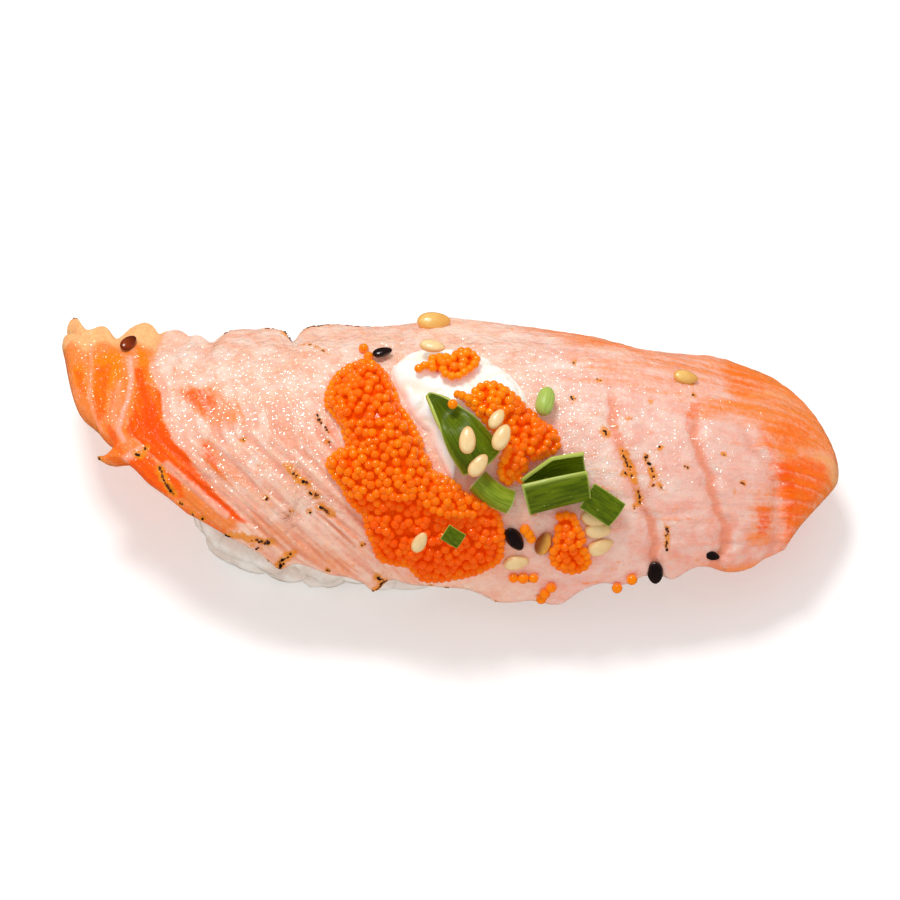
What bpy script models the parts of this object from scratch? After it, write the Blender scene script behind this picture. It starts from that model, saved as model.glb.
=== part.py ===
"""Seared salmon nigiri: a pressed ball of rice under a long draped slice of seared salmon.

On the slice lie heaps of flying-fish roe, a dollop of cream, cut scallion and sesame seeds.
Metres, +Z up, +X along the slice. The origin is in the flat underside of the rice.
"""

import math

import bmesh
import bpy
import numpy as np
from mathutils import Matrix, Vector
from mathutils.bvhtree import BVHTree

MM = 0.001
GAP = 0.3 * MM

# Underside of the slice, at stations along X: x, middle y, half width, springing height, rise.
STATIONS = MM * np.array(
    [
        (-46.0, 6.1, 13.5, 5.0, 5.5),
        (-40.0, 4.6, 13.5, 4.5, 7.5),
        (-33.0, 2.3, 13.4, 4.0, 10.6),
        (-25.0, 1.2, 13.6, 3.8, 12.8),
        (-12.0, 0.6, 13.8, 3.6, 13.6),
        (5.0, 0.6, 13.8, 3.6, 13.8),
        (20.0, -0.2, 12.9, 3.4, 13.2),
        (30.0, -0.9, 12.1, 2.6, 11.2),
        (38.0, -1.0, 10.9, 1.6, 8.5),
        (46.0, -3.2, 8.0, 1.0, 3.9),
    ]
)

# The slice. Angles go round the ridge in degrees: 0 on top, negative to the front, positive behind.
SLICE_COLUMNS = 42
SLICE_ROWS = 13
THICKEST = 5.2 * MM
THICKNESS = [(-46, 2.6), (-35, 3.2), (-20, 4.0), (0, 4.2), (25, 4.0), (38, 3.5), (46, 3.0)]
RIM_SHARE = 0.28
RIM_ROUND = 2.6 * MM
FRONT_EDGE = [
    (-46, -47), (-29, -47), (-25, -55), (-22.5, -61), (-20.8, -67), (-19.2, -73), (-17.6, -65),
    (-14, -72), (-10, -76), (-8.5, -84), (-7, -74), (-4, -80), (0, -84), (3.5, -91), (6, -97),
    (12.5, -98.5), (16, -88), (20, -80), (26, -76), (29, -72), (32, -75), (35.5, -70), (38, -60),
    (46, -50),
]  # fmt: skip
BACK_EDGE = [
    (-46, 80), (-44, 78), (-42, 52), (-40.5, 54), (-38.8, 46), (-36.5, 66), (-34, 57), (-32, 60),
    (-29, 51), (-27.2, 46), (-26, 60), (-21, 63), (-19.2, 52), (-18, 44), (-17, 62), (-10, 68),
    (-4, 80), (4, 88), (20, 88), (32, 84), (38, 76), (46, 66),
]  # fmt: skip
LEFT_END = [
    (0, -29), (0.08, -33.4), (0.15, -36.2), (0.2, -39.3), (0.25, -39.0), (0.36, -41.2),
    (0.5, -43.6), (0.64, -44.9), (0.78, -45.5), (0.86, -43.6), (0.94, -44.9), (1, -43.4),
]  # fmt: skip
RIGHT_END = [
    (0, 38), (0.12, 40.6), (0.28, 43), (0.45, 44.5), (0.6, 44.4), (0.75, 42.7), (0.88, 40.4),
    (1, 37.2),
]  # fmt: skip
# Seams between flakes of flesh: (angle, x) knots, each with a raised lip on its right.
SEAM_DEPTH = 0.55 * MM
SEAM_WIDTH = 0.9 * MM
SEAM_FADE = 12.0
LIP_SHARE = 0.45
LIP_AWAY = 1.7
SEAMS = [
    [(-75, 24.3), (-52, 22.8), (-40, 22), (-29, 20.5), (-18, 19.2), (-4, 18.2), (10, 17.6)],
    [(-75, 28.6), (-58, 29.8), (-41, 30.2), (-24, 28.5), (-6, 27), (6, 26.6)],
    [(-70, 34.8), (-52, 35.8), (-33, 36.2), (-11, 34.8), (4, 31.8)],
]
# Creases that run down from the notches of the back edge: x in mm.
CREASES = (-38.5, -34.5, -30.5, -26.8, -18.0)
CREASE_DEPTH = 0.45 * MM
CREASE_WIDTH = 0.8
CREASE_LEAN = 0.05
# The swelling behind the cream: x in mm, angle, height in mm, then its spread in x and angle.
CREST_BUMP = (-2.0, 60.0, 0.9, 5.0, 16.0)

# The rice.
RICE_ENDS = (-30.0 * MM, 31.5 * MM)
RICE_END_HEIGHT = 6.0 * MM
RICE_BLUNT = 0.5
RICE_DROP = 0.35 * MM
GRAIN_SIZE = (6.0 * MM, 2.9 * MM, 2.5 * MM)
GRAIN_PROUD = 0.5 * MM
GRAIN_LIE = (1.6, 0.8, 0.6)
GRAIN_SPACING = 2.7 * MM
GRAIN_FLOOR = 0.7 * MM
GRAIN_TRIES = 3000
MOST_GRAINS = 42

# Toppings. Outlines hold (x in mm, angle in degrees) corners.
UNROLL = 18.0 * MM
BEAD_RADIUS = 0.67 * MM
BEAD_FLATS = 1.06
BEAD_PITCH = 1.55 * MM
BEAD_JITTER = 0.12 * MM
BEAD_SUNK = 0.35 * MM
SEED_LIFT = 0.25 * MM
HEAP_BLUNT = 2.4
HEAP_INSET = 0.35 * MM
HEAP_RIM = 0.3 * MM
FACET_GAP = 1.75 * GAP
CREAM_HEIGHT = 2.3 * MM
CREAM_MIDDLE = (1.0, 6.0)
CREAM_OUTLINE = [
    (-6.6, 15), (-5.0, 21), (-2.2, 24), (1, 22), (3.8, 19), (5.5, 15), (7.5, 9), (8.6, 3),
    (8.6, -4), (6, -9), (3, -11), (1.2, -15), (0.8, -22), (0.4, -29), (-1.0, -21), (-2.2, -11),
    (-5.0, 2),
]  # fmt: skip
ROE_MAIN_MIDDLE = (-5.5, -27.0)
ROE_MAIN_OUTLINE = [
    (-7.4, 13), (-9.4, 20), (-12.5, 14), (-14, 4), (-14, 0), (-12, -8), (-11.4, -16), (-14, -22),
    (-12.2, -30), (-9.5, -41), (-8.5, -52), (-7.8, -58), (-4.6, -60), (-2.8, -67), (0.2, -66),
    (4, -62), (5.8, -58), (5.8, -43), (5.0, -38), (3.4, -33), (1.8, -29.5), (0, -31), (-1.4, -26),
    (-2.4, -18), (-3.4, -10), (-5.6, -1),
]  # fmt: skip
ROE_SIDE_MIDDLE = (8.6, -14.0)
ROE_SIDE_OUTLINE = [
    (0.4, -0.5), (2.2, -1), (3.4, 3), (5.0, 3), (6.4, 1), (8, -2), (10.2, -7), (12.2, -12),
    (12.4, -16.5), (10.8, -19.6), (8.6, -21), (7.8, -25.5), (8.0, -29.5), (6.4, -30), (5.6, -28),
    (5.5, -24), (6.1, -19), (6.2, -13), (5.0, -8.0), (2.4, -5),
]  # fmt: skip
ROE_CREST_MIDDLE = (0.6, 10.0)
ROE_CREST_OUTLINE = [
    (-4.2, 9), (-3, 13.5), (-0.6, 13), (1.2, 18), (2.8, 18.5), (4, 15), (3.6, 9.5), (2, 7),
    (0, 3.5), (-1.4, 7), (-3, 8.2),
]  # fmt: skip
ROE_FRONT_MIDDLE = (13.4, -52.0)
ROE_FRONT_OUTLINE = [
    (12, -40), (13.6, -39), (14.4, -45), (15, -53), (15.7, -60), (14.2, -63), (12.6, -62),
    (11.4, -58), (11.8, -52), (12.2, -46),
]  # fmt: skip
# Single beads on the slice: x in mm, angle.
LOOSE_BEADS = [
    (7.2, -65.5), (8.5, -65.5), (9.8, -65.5), (11.5, -70.5), (10.2, -77), (11.3, -75.5),
    (18.8, -70.5), (20.4, -64.5), (-9.9, 25), (8.5, -46), (9.2, -50.5),
]  # fmt: skip
# Seeds: x in mm, angle, turn in plan from +X in degrees, length in mm.
SLICE_SEEDS = [
    (-1.8, 62, 5, 3.9), (25.8, 24, 8, 2.9), (23.0, -64, -70, 3.1), (29.2, -54, -30, 1.8),
    (-36.8, 35, 62, 2.6), (10.6, -51.5, 80, 3.0), (7.3, -50, -68, 3.1), (7.5, -59.5, 22, 3.0),
    (16.4, -47.5, -20, 3.0), (17.0, -53, 8, 3.2), (17.0, -59, 35, 3.2),
]  # fmt: skip
CREAM_SEEDS = [(-1.9, 16.5, -15, 3.0)]
ROE_MAIN_SEEDS = [(-3.4, -47, 70, 2.6)]
ROE_SIDE_SEEDS = [(6.6, -14.5, 68, 3.2)]
LEAF_SEEDS = [(1.9, -17, 88, 3.2)]
SEED_SHAPE = (1.0, 0.58, 0.34)
SEED_SIDES = 5
SEED_RINGS = 4

# Scallion pieces. Paths hold (x in mm, angle, lift in mm), arches half width, rise and points.
WALL = 0.5 * MM
LEAF_PATH = [
    (-2.0, -3, 7.9), (-0.9, -6.5, 8.0), (0.2, -10, 7.9), (1.3, -13.5, 7.6), (2.3, -17, 7.1),
    (3.1, -20, 6.5), (3.6, -22.5, 5.9),
]  # fmt: skip
LEAF_SEED_LIFT = 8.6 * MM
TUBE_PATH = [
    (9.5, -30.8, 4.9), (10.9, -29.5, 4.95), (12.4, -28.5, 5.0), (13.9, -27.5, 5.0),
    (15.2, -26.5, 5.0),
]  # fmt: skip
SLIP_PATH = [(15.6, -35.5, 5.3), (16.7, -37, 5.35), (17.8, -38.5, 5.3), (18.6, -40, 5.1)]
SLIP_ARCH = (1.55, 0.35, 5)
RING_PATH = [(4.3, -30.0, 5.2), (5.2, -32.2, 5.4), (6.1, -34.4, 5.4), (7.0, -36.6, 5.2)]
RING_ARCH = (1.4, 1.0, 6)
CHIP_PATH = [(-0.6, -43.5, 8.1), (0.3, -45.0, 8.2), (1.2, -46.5, 8.1)]
CHIP_ARCH = (0.9, 0.2, 4)
# The stub: length, width, height and taper, then x, angle, lift and turn.
STUB_SIZE = (3.3 * MM, 2.1 * MM, 1.9 * MM, 0.5 * MM)
STUB_PLACE = (11.3 * MM, 0.5, 5.7 * MM, 84)

# Direction and restart step of the ray that tells inside from outside.
RAY = Vector((0.31, 0.17, 0.93)).normalized()
RAY_STEP = 0.001 * MM


def smooth(knots, at):
    """A smooth curve through (position, value) knots, level past both ends."""
    places, values = np.array(knots, float).T
    slopes = np.gradient(values, places)
    at = np.asarray(at, float)
    left = np.clip(np.searchsorted(places, at) - 1, 0, len(places) - 2)
    span = places[left + 1] - places[left]
    t = np.clip((at - places[left]) / span, 0, 1)
    rest = 1 - t
    ends = rest**2 * (1 + 2 * t) * values[left] + t**2 * (3 - 2 * t) * values[left + 1]
    return ends + span * t * rest * (rest * slopes[left] - t * slopes[left + 1])


def underside(x, angle):
    """Points of the slice's underside at x and at an angle round the ridge."""
    middle, half_width, springing, rise = (smooth(STATIONS[:, (0, k)], x) for k in range(1, 5))
    turn = np.radians(angle)
    across = middle + half_width * np.sin(turn)
    up = springing + rise * np.cos(turn)
    return np.stack([x + 0 * turn, across, up], axis=-1)


def outward(x, angle):
    """Unit normal of the underside, pointing out of the rice."""
    along = underside(x + 0.05 * MM, angle) - underside(x - 0.05 * MM, angle)
    around = underside(x, angle + 0.2) - underside(x, angle - 0.2)
    normal = np.cross(along, around)
    return normal / np.linalg.norm(normal, axis=-1, keepdims=True)


def on_form(x, angle, lift):
    """Points at a height above the underside, measured along its normal."""
    x, angle, lift = (np.asarray(v, float) for v in (x, angle, lift))
    return underside(x, angle) + outward(x, angle) * lift[..., None]


def slice_thickness(x, angle):
    """Thickness of the slice: thin at its rim, with seams and creases sunk in it."""
    mm = x / MM
    thick = smooth(THICKNESS, mm) * MM
    for seam in SEAMS:
        offset = (x - smooth(seam, angle) * MM) / SEAM_WIDTH
        shown = np.clip((seam[-1][0] - angle) / SEAM_FADE + 0.5, 0, 1)
        thick = thick - shown * SEAM_DEPTH * np.exp(-(offset**2))
        thick = thick + shown * LIP_SHARE * SEAM_DEPTH * np.exp(-((offset - LIP_AWAY) ** 2))
    for crease in CREASES:
        offset = (mm - crease + CREASE_LEAN * (45 - angle)) / CREASE_WIDTH
        fade = np.clip((angle + 5) / 45, 0, 1)
        thick = thick - fade * CREASE_DEPTH * np.exp(-(offset**2))
    bump_x, bump_angle, bump_height, spread_x, spread_angle = CREST_BUMP
    away = ((mm - bump_x) / spread_x) ** 2 + ((angle - bump_angle) / spread_angle) ** 2
    return thick + bump_height * MM * np.exp(-away)


def slice_place(along, across):
    """x, angle and thickness at a place on the slice, both shares running from 0 to 1."""
    left = smooth(LEFT_END, across) * MM
    right = smooth(RIGHT_END, across) * MM
    x = left + (right - left) * along
    front = smooth(FRONT_EDGE, x / MM)
    back = smooth(BACK_EDGE, x / MM)
    angle = front + (back - front) * across
    to_side = np.minimum(angle - front, back - angle) * math.radians(1) * UNROLL
    to_end = np.minimum(x - left, right - x)
    edge = np.clip(np.minimum(to_side, to_end) / RIM_ROUND, 0, 1)
    rim = RIM_SHARE + (1 - RIM_SHARE) * np.sqrt(1 - (1 - edge) ** 2)
    return x, angle, slice_thickness(x, angle) * rim


def new_material(name, colour, roughness, metallic=0.0):
    """A Principled material of one colour, in linear values."""
    material = bpy.data.materials.new(name)
    material.use_nodes = True
    shader = material.node_tree.nodes["Principled BSDF"]
    shader.inputs["Base Color"].default_value = (*colour, 1.0)
    shader.inputs["Roughness"].default_value = roughness
    shader.inputs["Metallic"].default_value = metallic
    material.diffuse_color = (*colour, 1.0)
    return material


def keep_object(name, mesh, material, home, parent):
    """Adds a mesh as a named part."""
    mesh.name = name
    mesh.materials.clear()
    mesh.materials.append(material)
    part = bpy.data.objects.new(name, mesh)
    home.objects.link(part)
    part.parent = parent
    return part


def split_quads(form):
    """Splits every quad from its first vertex, so that its two triangles are always the same."""
    form.verts.index_update()
    for face in list(form.faces):
        if len(face.verts) == 4:
            ring = list(face.verts)
            start = min(range(4), key=lambda k: ring[k].index)
            bmesh.utils.face_split(face, ring[start], ring[(start + 2) % 4])


def mesh_of(form):
    """Turns a closed bmesh into a mesh of triangles that face outwards."""
    split_quads(form)
    if form.calc_volume(signed=True) < 0:
        bmesh.ops.reverse_faces(form, faces=form.faces)
    mesh = bpy.data.meshes.new("form")
    form.to_mesh(mesh)
    form.free()
    mesh.shade_smooth()
    mesh.set_sharp_from_angle(angle=math.radians(50))
    return mesh


def flatten(part):
    """Applies every modifier of a part, and keeps only its outer skin."""
    bpy.context.view_layer.update()
    evaluated = part.evaluated_get(bpy.context.evaluated_depsgraph_get())
    mesh = bpy.data.meshes.new_from_object(evaluated)
    part.modifiers.clear()
    old = part.data
    part.data = mesh
    bpy.data.meshes.remove(old)
    mesh.name = part.name
    form = bmesh.new()
    form.from_mesh(mesh)
    split_quads(form)
    skins = []
    waiting = set(form.faces)
    while waiting:
        skin = [waiting.pop()]
        for face in skin:
            beside = {other for edge in face.edges for other in edge.link_faces} & waiting
            waiting -= beside
            skin.extend(beside)
        skins.append(skin)
    largest = set(max(skins, key=len))
    scraps = [face for face in form.faces if face not in largest]
    bmesh.ops.delete(form, geom=scraps, context="FACES")
    form.to_mesh(mesh)
    form.free()


def fuse(part, pieces):
    """Joins loose pieces to a part with one Boolean union, then removes them."""
    if not pieces:
        return
    tools = bpy.data.collections.new("tools")
    bpy.context.scene.collection.children.link(tools)
    for piece in pieces:
        tools.objects.link(piece)
    union = part.modifiers.new("union", "BOOLEAN")
    union.operation = "UNION"
    union.operand_type = "COLLECTION"
    union.collection = tools
    union.solver = "MANIFOLD"
    flatten(part)
    for piece in pieces:
        mesh = piece.data
        bpy.data.objects.remove(piece)
        bpy.data.meshes.remove(mesh)
    bpy.data.collections.remove(tools)


def tree_of(part):
    """Search tree of a part's finished surface."""
    bpy.context.view_layer.update()
    return BVHTree.FromObject(part, bpy.context.evaluated_depsgraph_get())


def inside(point, tree):
    """Whether a point is inside a closed solid: a ray from it leaves an odd number of times."""
    crossings = 0
    start = Vector(point)
    while True:
        hit, _, _, _ = tree.ray_cast(start, RAY)
        if hit is None:
            return crossings % 2 == 1
        crossings += 1
        start = hit + RAY * RAY_STEP


def clear_of(point, trees, distance):
    """Whether a point is outside every tree's solid and at least this far from it."""
    for tree in trees:
        _, _, _, away = tree.find_nearest(Vector(point))
        if away < distance or inside(point, tree):
            return False
    return True


def surface_frame(x, angle, lift, turn):
    """Matrix that lays a piece on the form, its X turned in plan from the row's +X."""
    place = on_form(x, angle, lift)
    up = Vector(outward(np.float64(x), np.float64(angle)))
    heading = Vector((math.cos(math.radians(turn)), math.sin(math.radians(turn)), 0))
    along = (heading - up * heading.dot(up)).normalized()
    side = up.cross(along)
    axes = Matrix((along, side, up)).transposed().to_4x4()
    return Matrix.Translation(Vector(place)) @ axes


def new_seed(x, angle, turn, length, lift):
    """A flat seed, narrower at one end, laid on the form at a lift."""
    form = bmesh.new()
    bmesh.ops.create_uvsphere(form, u_segments=SEED_SIDES, v_segments=SEED_RINGS, radius=0.5)
    for point in form.verts:
        along, side, up = point.co.z, point.co.x, point.co.y
        taper = 1 - 0.55 * along
        point.co = (
            along * length * SEED_SHAPE[0],
            side * taper * length * SEED_SHAPE[1],
            up * taper * length * SEED_SHAPE[2],
        )
    mesh = mesh_of(form)
    seed = bpy.data.objects.new("seed", mesh)
    seed.matrix_world = surface_frame(x, angle, lift, turn)
    return seed


def new_bead(place):
    """One round bead of roe."""
    form = bmesh.new()
    bmesh.ops.create_icosphere(form, subdivisions=1, radius=BEAD_RADIUS * BEAD_FLATS)
    bead = bpy.data.objects.new("bead", mesh_of(form))
    bead.location = place
    return bead


class Patch:
    """A low mound on the slice inside an outline round its own middle."""

    def __init__(self, outline, middle, under, height, blunt=HEAP_BLUNT, inset=0.0):
        """Takes (x in mm, angle) corners, a middle that sees them all, what it lies on and its height."""
        corners = np.array(outline, float) * (MM, math.radians(1) * UNROLL)
        self.middle = np.array(middle, float) * (MM, math.radians(1) * UNROLL)
        away = corners - self.middle
        bearing = np.arctan2(away[:, 1], away[:, 0])
        order = np.argsort(bearing)
        self.bearings = bearing[order]
        self.reaches = np.hypot(*away.T)[order] - inset
        self.corners = corners
        self.under = under
        self.height = height
        self.blunt = blunt

    def reach(self, bearing):
        """Distance from the middle to the outline."""
        return np.interp(bearing, self.bearings, self.reaches, period=2 * math.pi)

    def share(self, x, slide):
        """How far out a place lies: 0 in the middle, 1 on the outline."""
        right, back = x - self.middle[0], slide - self.middle[1]
        return np.hypot(right, back) / self.reach(np.arctan2(back, right))

    def top(self, x, slide):
        """Lift of the mound's upper face, or of what is under it outside the outline."""
        out = np.clip(self.share(x, slide), 0, 1)
        return self.under(x, slide) + self.height * (1 - out**self.blunt) ** 0.5

    def holds(self, x, slide, margin):
        """Whether a place lies inside the outline by a margin."""
        right, back = x - self.middle[0], slide - self.middle[1]
        return np.hypot(right, back) < self.reach(np.arctan2(back, right)) - margin

    def mesh(self, sides, rings):
        """A sphere laid over the outline: its upper half is the top, its lower half the base."""
        form = bmesh.new()
        bmesh.ops.create_uvsphere(form, u_segments=sides, v_segments=rings, radius=1.0)
        for point in form.verts:
            out = math.hypot(point.co.x, point.co.y)
            bearing = math.atan2(point.co.y, point.co.x)
            out_share = math.sin(min(out, 1.0) * math.pi / 2) ** 0.9
            spot = self.middle + np.array([math.cos(bearing), math.sin(bearing)]) * (
                out_share * float(self.reach(bearing))
            )
            low = float(self.under(*spot))
            high = self.height * max(0.0, 1 - out_share**self.blunt) ** 0.5
            lift = low if point.co.z < -1e-4 else low + max(high, HEAP_RIM)
            point.co = on_form(spot[0], math.degrees(spot[1] / UNROLL), lift)
        return mesh_of(form)


def slice_top(x, slide):
    """Lift of the slice's upper face with a gap over it that flat facets can't close."""
    return slice_thickness(x, np.degrees(slide / UNROLL)) + FACET_GAP


def build_slice(home, parent):
    """The draped slice of seared salmon, with seeds and single beads lying on it."""
    form = bmesh.new()
    bmesh.ops.create_grid(form, x_segments=SLICE_COLUMNS, y_segments=SLICE_ROWS, size=0.5)
    weight = form.verts.layers.deform.verify()
    for point in form.verts:
        x, angle, thick = slice_place(point.co.x + 0.5, point.co.y + 0.5)
        point.co = underside(x, angle)
        point[weight][0] = float(np.clip(thick / THICKEST, 0, 1))
    mesh = bpy.data.meshes.new("form")
    form.to_mesh(mesh)
    form.free()
    colour = new_material("seared_salmon", (0.93, 0.45, 0.25), 0.35)
    part = keep_object("salmon_slice", mesh, colour, home, parent)
    part.vertex_groups.new(name="thickness")
    shell = part.modifiers.new("thickness", "SOLIDIFY")
    shell.thickness = THICKEST
    shell.offset = 1.0
    shell.vertex_group = "thickness"
    flatten(part)
    return part


def dress_slice(part):
    """Fuses the seeds and the single beads to the slice."""
    pieces = []
    for x, angle, turn, length in SLICE_SEEDS:
        lift = float(slice_thickness(x * MM, angle)) + SEED_LIFT
        pieces.append(new_seed(x * MM, angle, turn, length * MM, lift))
    for x, angle in LOOSE_BEADS:
        lift = float(slice_thickness(x * MM, angle)) + BEAD_SUNK
        pieces.append(new_bead(on_form(x * MM, angle, lift)))
    fuse(part, pieces)


def build_cream(home, parent):
    """The dollop of cream, with one seed on it."""
    patch = Patch(CREAM_OUTLINE, CREAM_MIDDLE, slice_top, CREAM_HEIGHT, blunt=2.2)
    colour = new_material("cream", (0.93, 0.84, 0.72), 0.3)
    part = keep_object("cream_dollop", patch.mesh(18, 8), colour, home, parent)
    seeds = []
    for x, angle, turn, length in CREAM_SEEDS:
        slide = math.radians(angle) * UNROLL
        lift = float(patch.top(x * MM, slide)) + 0.2 * MM
        seeds.append(new_seed(x * MM, angle, turn, length * MM, lift))
    fuse(part, seeds)
    return part, patch


def build_roe(name, patch, sides, seeds, neighbours, home, parent, colour):
    """A heap of roe: a core with beads fused over it, all clear of the neighbours."""
    part = keep_object(name, patch.mesh(sides, 8), colour, home, parent)
    draw = np.random.default_rng(11)
    low, high = patch.corners.min(axis=0), patch.corners.max(axis=0)
    beads = []
    row = 0
    slide = low[1]
    while slide < high[1]:
        x = low[0] + (row % 2) * BEAD_PITCH / 2
        while x < high[0]:
            spot = np.array([x, slide]) + draw.uniform(-BEAD_JITTER, BEAD_JITTER, 2)
            x += BEAD_PITCH
            if not patch.holds(*spot, BEAD_RADIUS * 0.75):
                continue
            rest = float(patch.under(*spot)) + BEAD_RADIUS * 1.05
            lift = max(float(patch.top(*spot)) + 0.1 * MM, rest)
            place = on_form(spot[0], math.degrees(spot[1] / UNROLL), lift)
            if clear_of(place, neighbours, BEAD_RADIUS * BEAD_FLATS + GAP / 2):
                beads.append(new_bead(place))
        slide += BEAD_PITCH * math.sqrt(3) / 2
        row += 1
    for x, angle, turn, length in seeds:
        spot = np.array([x * MM, math.radians(angle) * UNROLL])
        lift = float(patch.top(*spot)) + BEAD_RADIUS + BEAD_SUNK
        beads.append(new_seed(spot[0], angle, turn, length * MM, lift))
    fuse(part, beads)
    return part


def ribbon(name, path, section, home, parent, colour):
    """A bent strip of leaf: a section carried along a path of (x in mm, angle, lift in mm)."""
    path = np.array(path, float)
    steps = len(path) - 1
    form = bmesh.new()
    bmesh.ops.create_grid(form, x_segments=steps, y_segments=len(section(0.0)) - 1, size=0.5)
    middles = [on_form(x * MM, angle, lift * MM) for x, angle, lift in path]
    for point in form.verts:
        step = round((point.co.x + 0.5) * steps)
        outline = section(step / steps)
        side, height = outline[round((point.co.y + 0.5) * (len(outline) - 1))]
        before, after = middles[max(step - 1, 0)], middles[min(step + 1, steps)]
        along = Vector(after - before).normalized()
        up = Vector(outward(path[step, 0] * MM, path[step, 1]))
        up = (up - along * up.dot(along)).normalized()
        across = up.cross(along)
        point.co = Vector(middles[step]) + across * side * MM + up * height * MM
    mesh = bpy.data.meshes.new("form")
    form.to_mesh(mesh)
    form.free()
    mesh.shade_smooth()
    part = keep_object(name, mesh, colour, home, parent)
    wall = part.modifiers.new("wall", "SOLIDIFY")
    wall.thickness = WALL
    wall.offset = 0.0
    flatten(part)
    return part


def arch(half_width, rise, points):
    """Section of a bowed strip: (side, height) pairs over an arc."""
    turns = np.linspace(-1, 1, points)
    return [(half_width * t, rise * (1 - t * t)) for t in turns]


def leaf_section(share):
    """The pointed scallion leaf: widest in its middle, bowed upwards."""
    half_width = 0.5 + 2.3 * math.sin(math.pi * (0.12 + 0.76 * share)) ** 0.8
    return arch(half_width, 0.5 * half_width, 7)


def tube_section(share):
    """A flattened scallion tube slit along its top, its back wall growing along its length."""
    front = [(0.9, 2.3), (-0.7, 2.0), (-2.1, 1.2), (-2.6, 0.4), (-1.6, 0.0)]
    grown = min(1.0, 0.25 + 1.6 * share)
    back = [(0.6, 0.0), (0.6 + 1.7 * grown, 0.5 * grown), (0.6 + 2.4 * grown, 1.7 * grown)]
    tip = (0.6 + 2.5 * grown, 2.7 * grown)
    stretch = 1.0 - 0.12 * share
    return [(side * stretch, height * stretch) for side, height in [*front, *back, tip]]


def build_scallions(home, parent):
    """The cut scallion: a pointed leaf, a slit tube, a slip, a ring, a stub and a chip."""
    green = new_material("scallion", (0.13, 0.19, 0.01), 0.35)
    leaf = ribbon("scallion_leaf", LEAF_PATH, leaf_section, home, parent, green)
    seeds = []
    for x, angle, turn, length in LEAF_SEEDS:
        seeds.append(new_seed(x * MM, angle, turn, length * MM, LEAF_SEED_LIFT))
    fuse(leaf, seeds)
    tube = ribbon("scallion_tube", TUBE_PATH, tube_section, home, parent, green)
    slip = ribbon("scallion_slip", SLIP_PATH, lambda share: arch(*SLIP_ARCH), home, parent, green)
    ring = ribbon("scallion_ring", RING_PATH, lambda share: arch(*RING_ARCH), home, parent, green)
    chip = ribbon("scallion_chip", CHIP_PATH, lambda share: arch(*CHIP_ARCH), home, parent, green)
    form = bmesh.new()
    bmesh.ops.create_uvsphere(form, u_segments=10, v_segments=6, radius=0.5)
    length, width, height, taper = STUB_SIZE
    for point in form.verts:
        along, side, up = point.co.z, point.co.x, point.co.y
        blunt = math.copysign(abs(2 * along) ** 0.7 / 2, along)
        point.co = (blunt * length, side * (width - taper * along), up * height)
    stub = keep_object("scallion_stub", mesh_of(form), green, home, parent)
    stub.matrix_basis = surface_frame(*STUB_PLACE)
    return [leaf, tube, slip, ring, chip, stub]


def rice_place(along, turn):
    """A point of the rice's core: along runs from -1 to 1, turn is in degrees round its length."""
    middle = sum(RICE_ENDS) / 2
    half = (RICE_ENDS[1] - RICE_ENDS[0]) / 2
    x = middle + half * math.copysign(abs(along) ** RICE_BLUNT, along)
    spread = (1 - along * along) ** (RICE_BLUNT / 2)
    centre, width, springing, rise = (float(smooth(STATIONS[:, (0, k)], x)) for k in range(1, 5))
    sine, cosine = math.sin(math.radians(turn)), math.cos(math.radians(turn))
    if cosine >= 0:
        across = (width - RICE_DROP) * sine
        up = springing + (rise - RICE_DROP) * cosine
    else:
        across = (width - RICE_DROP) * math.copysign(abs(sine) ** 0.5, sine)
        up = springing * (1 - 1.12 * abs(cosine) ** 0.5)
    up = RICE_END_HEIGHT + (up - RICE_END_HEIGHT) * spread**0.8
    return Vector((x, centre + across * spread, max(0.0, up)))


def rice_core():
    """The pressed rice, flat underneath, blunt at both ends and just clear of the slice."""
    form = bmesh.new()
    bmesh.ops.create_uvsphere(form, u_segments=18, v_segments=11, radius=1.0)
    for point in form.verts:
        along = max(-1.0, min(1.0, point.co.z))
        turn = round(math.degrees(math.atan2(point.co.y, point.co.x)), 4)
        point.co = rice_place(along, turn)
    return mesh_of(form)


def new_grain(place, along, up, size):
    """One grain of rice, lying along a direction."""
    form = bmesh.new()
    bmesh.ops.create_uvsphere(form, u_segments=5, v_segments=4, radius=0.5)
    for point in form.verts:
        point.co = (point.co.z * size[0], point.co.x * size[1], point.co.y * size[2])
    grain = bpy.data.objects.new("grain", mesh_of(form))
    side = up.cross(along)
    axes = Matrix((along, side, up)).transposed().to_4x4()
    grain.matrix_world = Matrix.Translation(place) @ axes
    return grain


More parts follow.
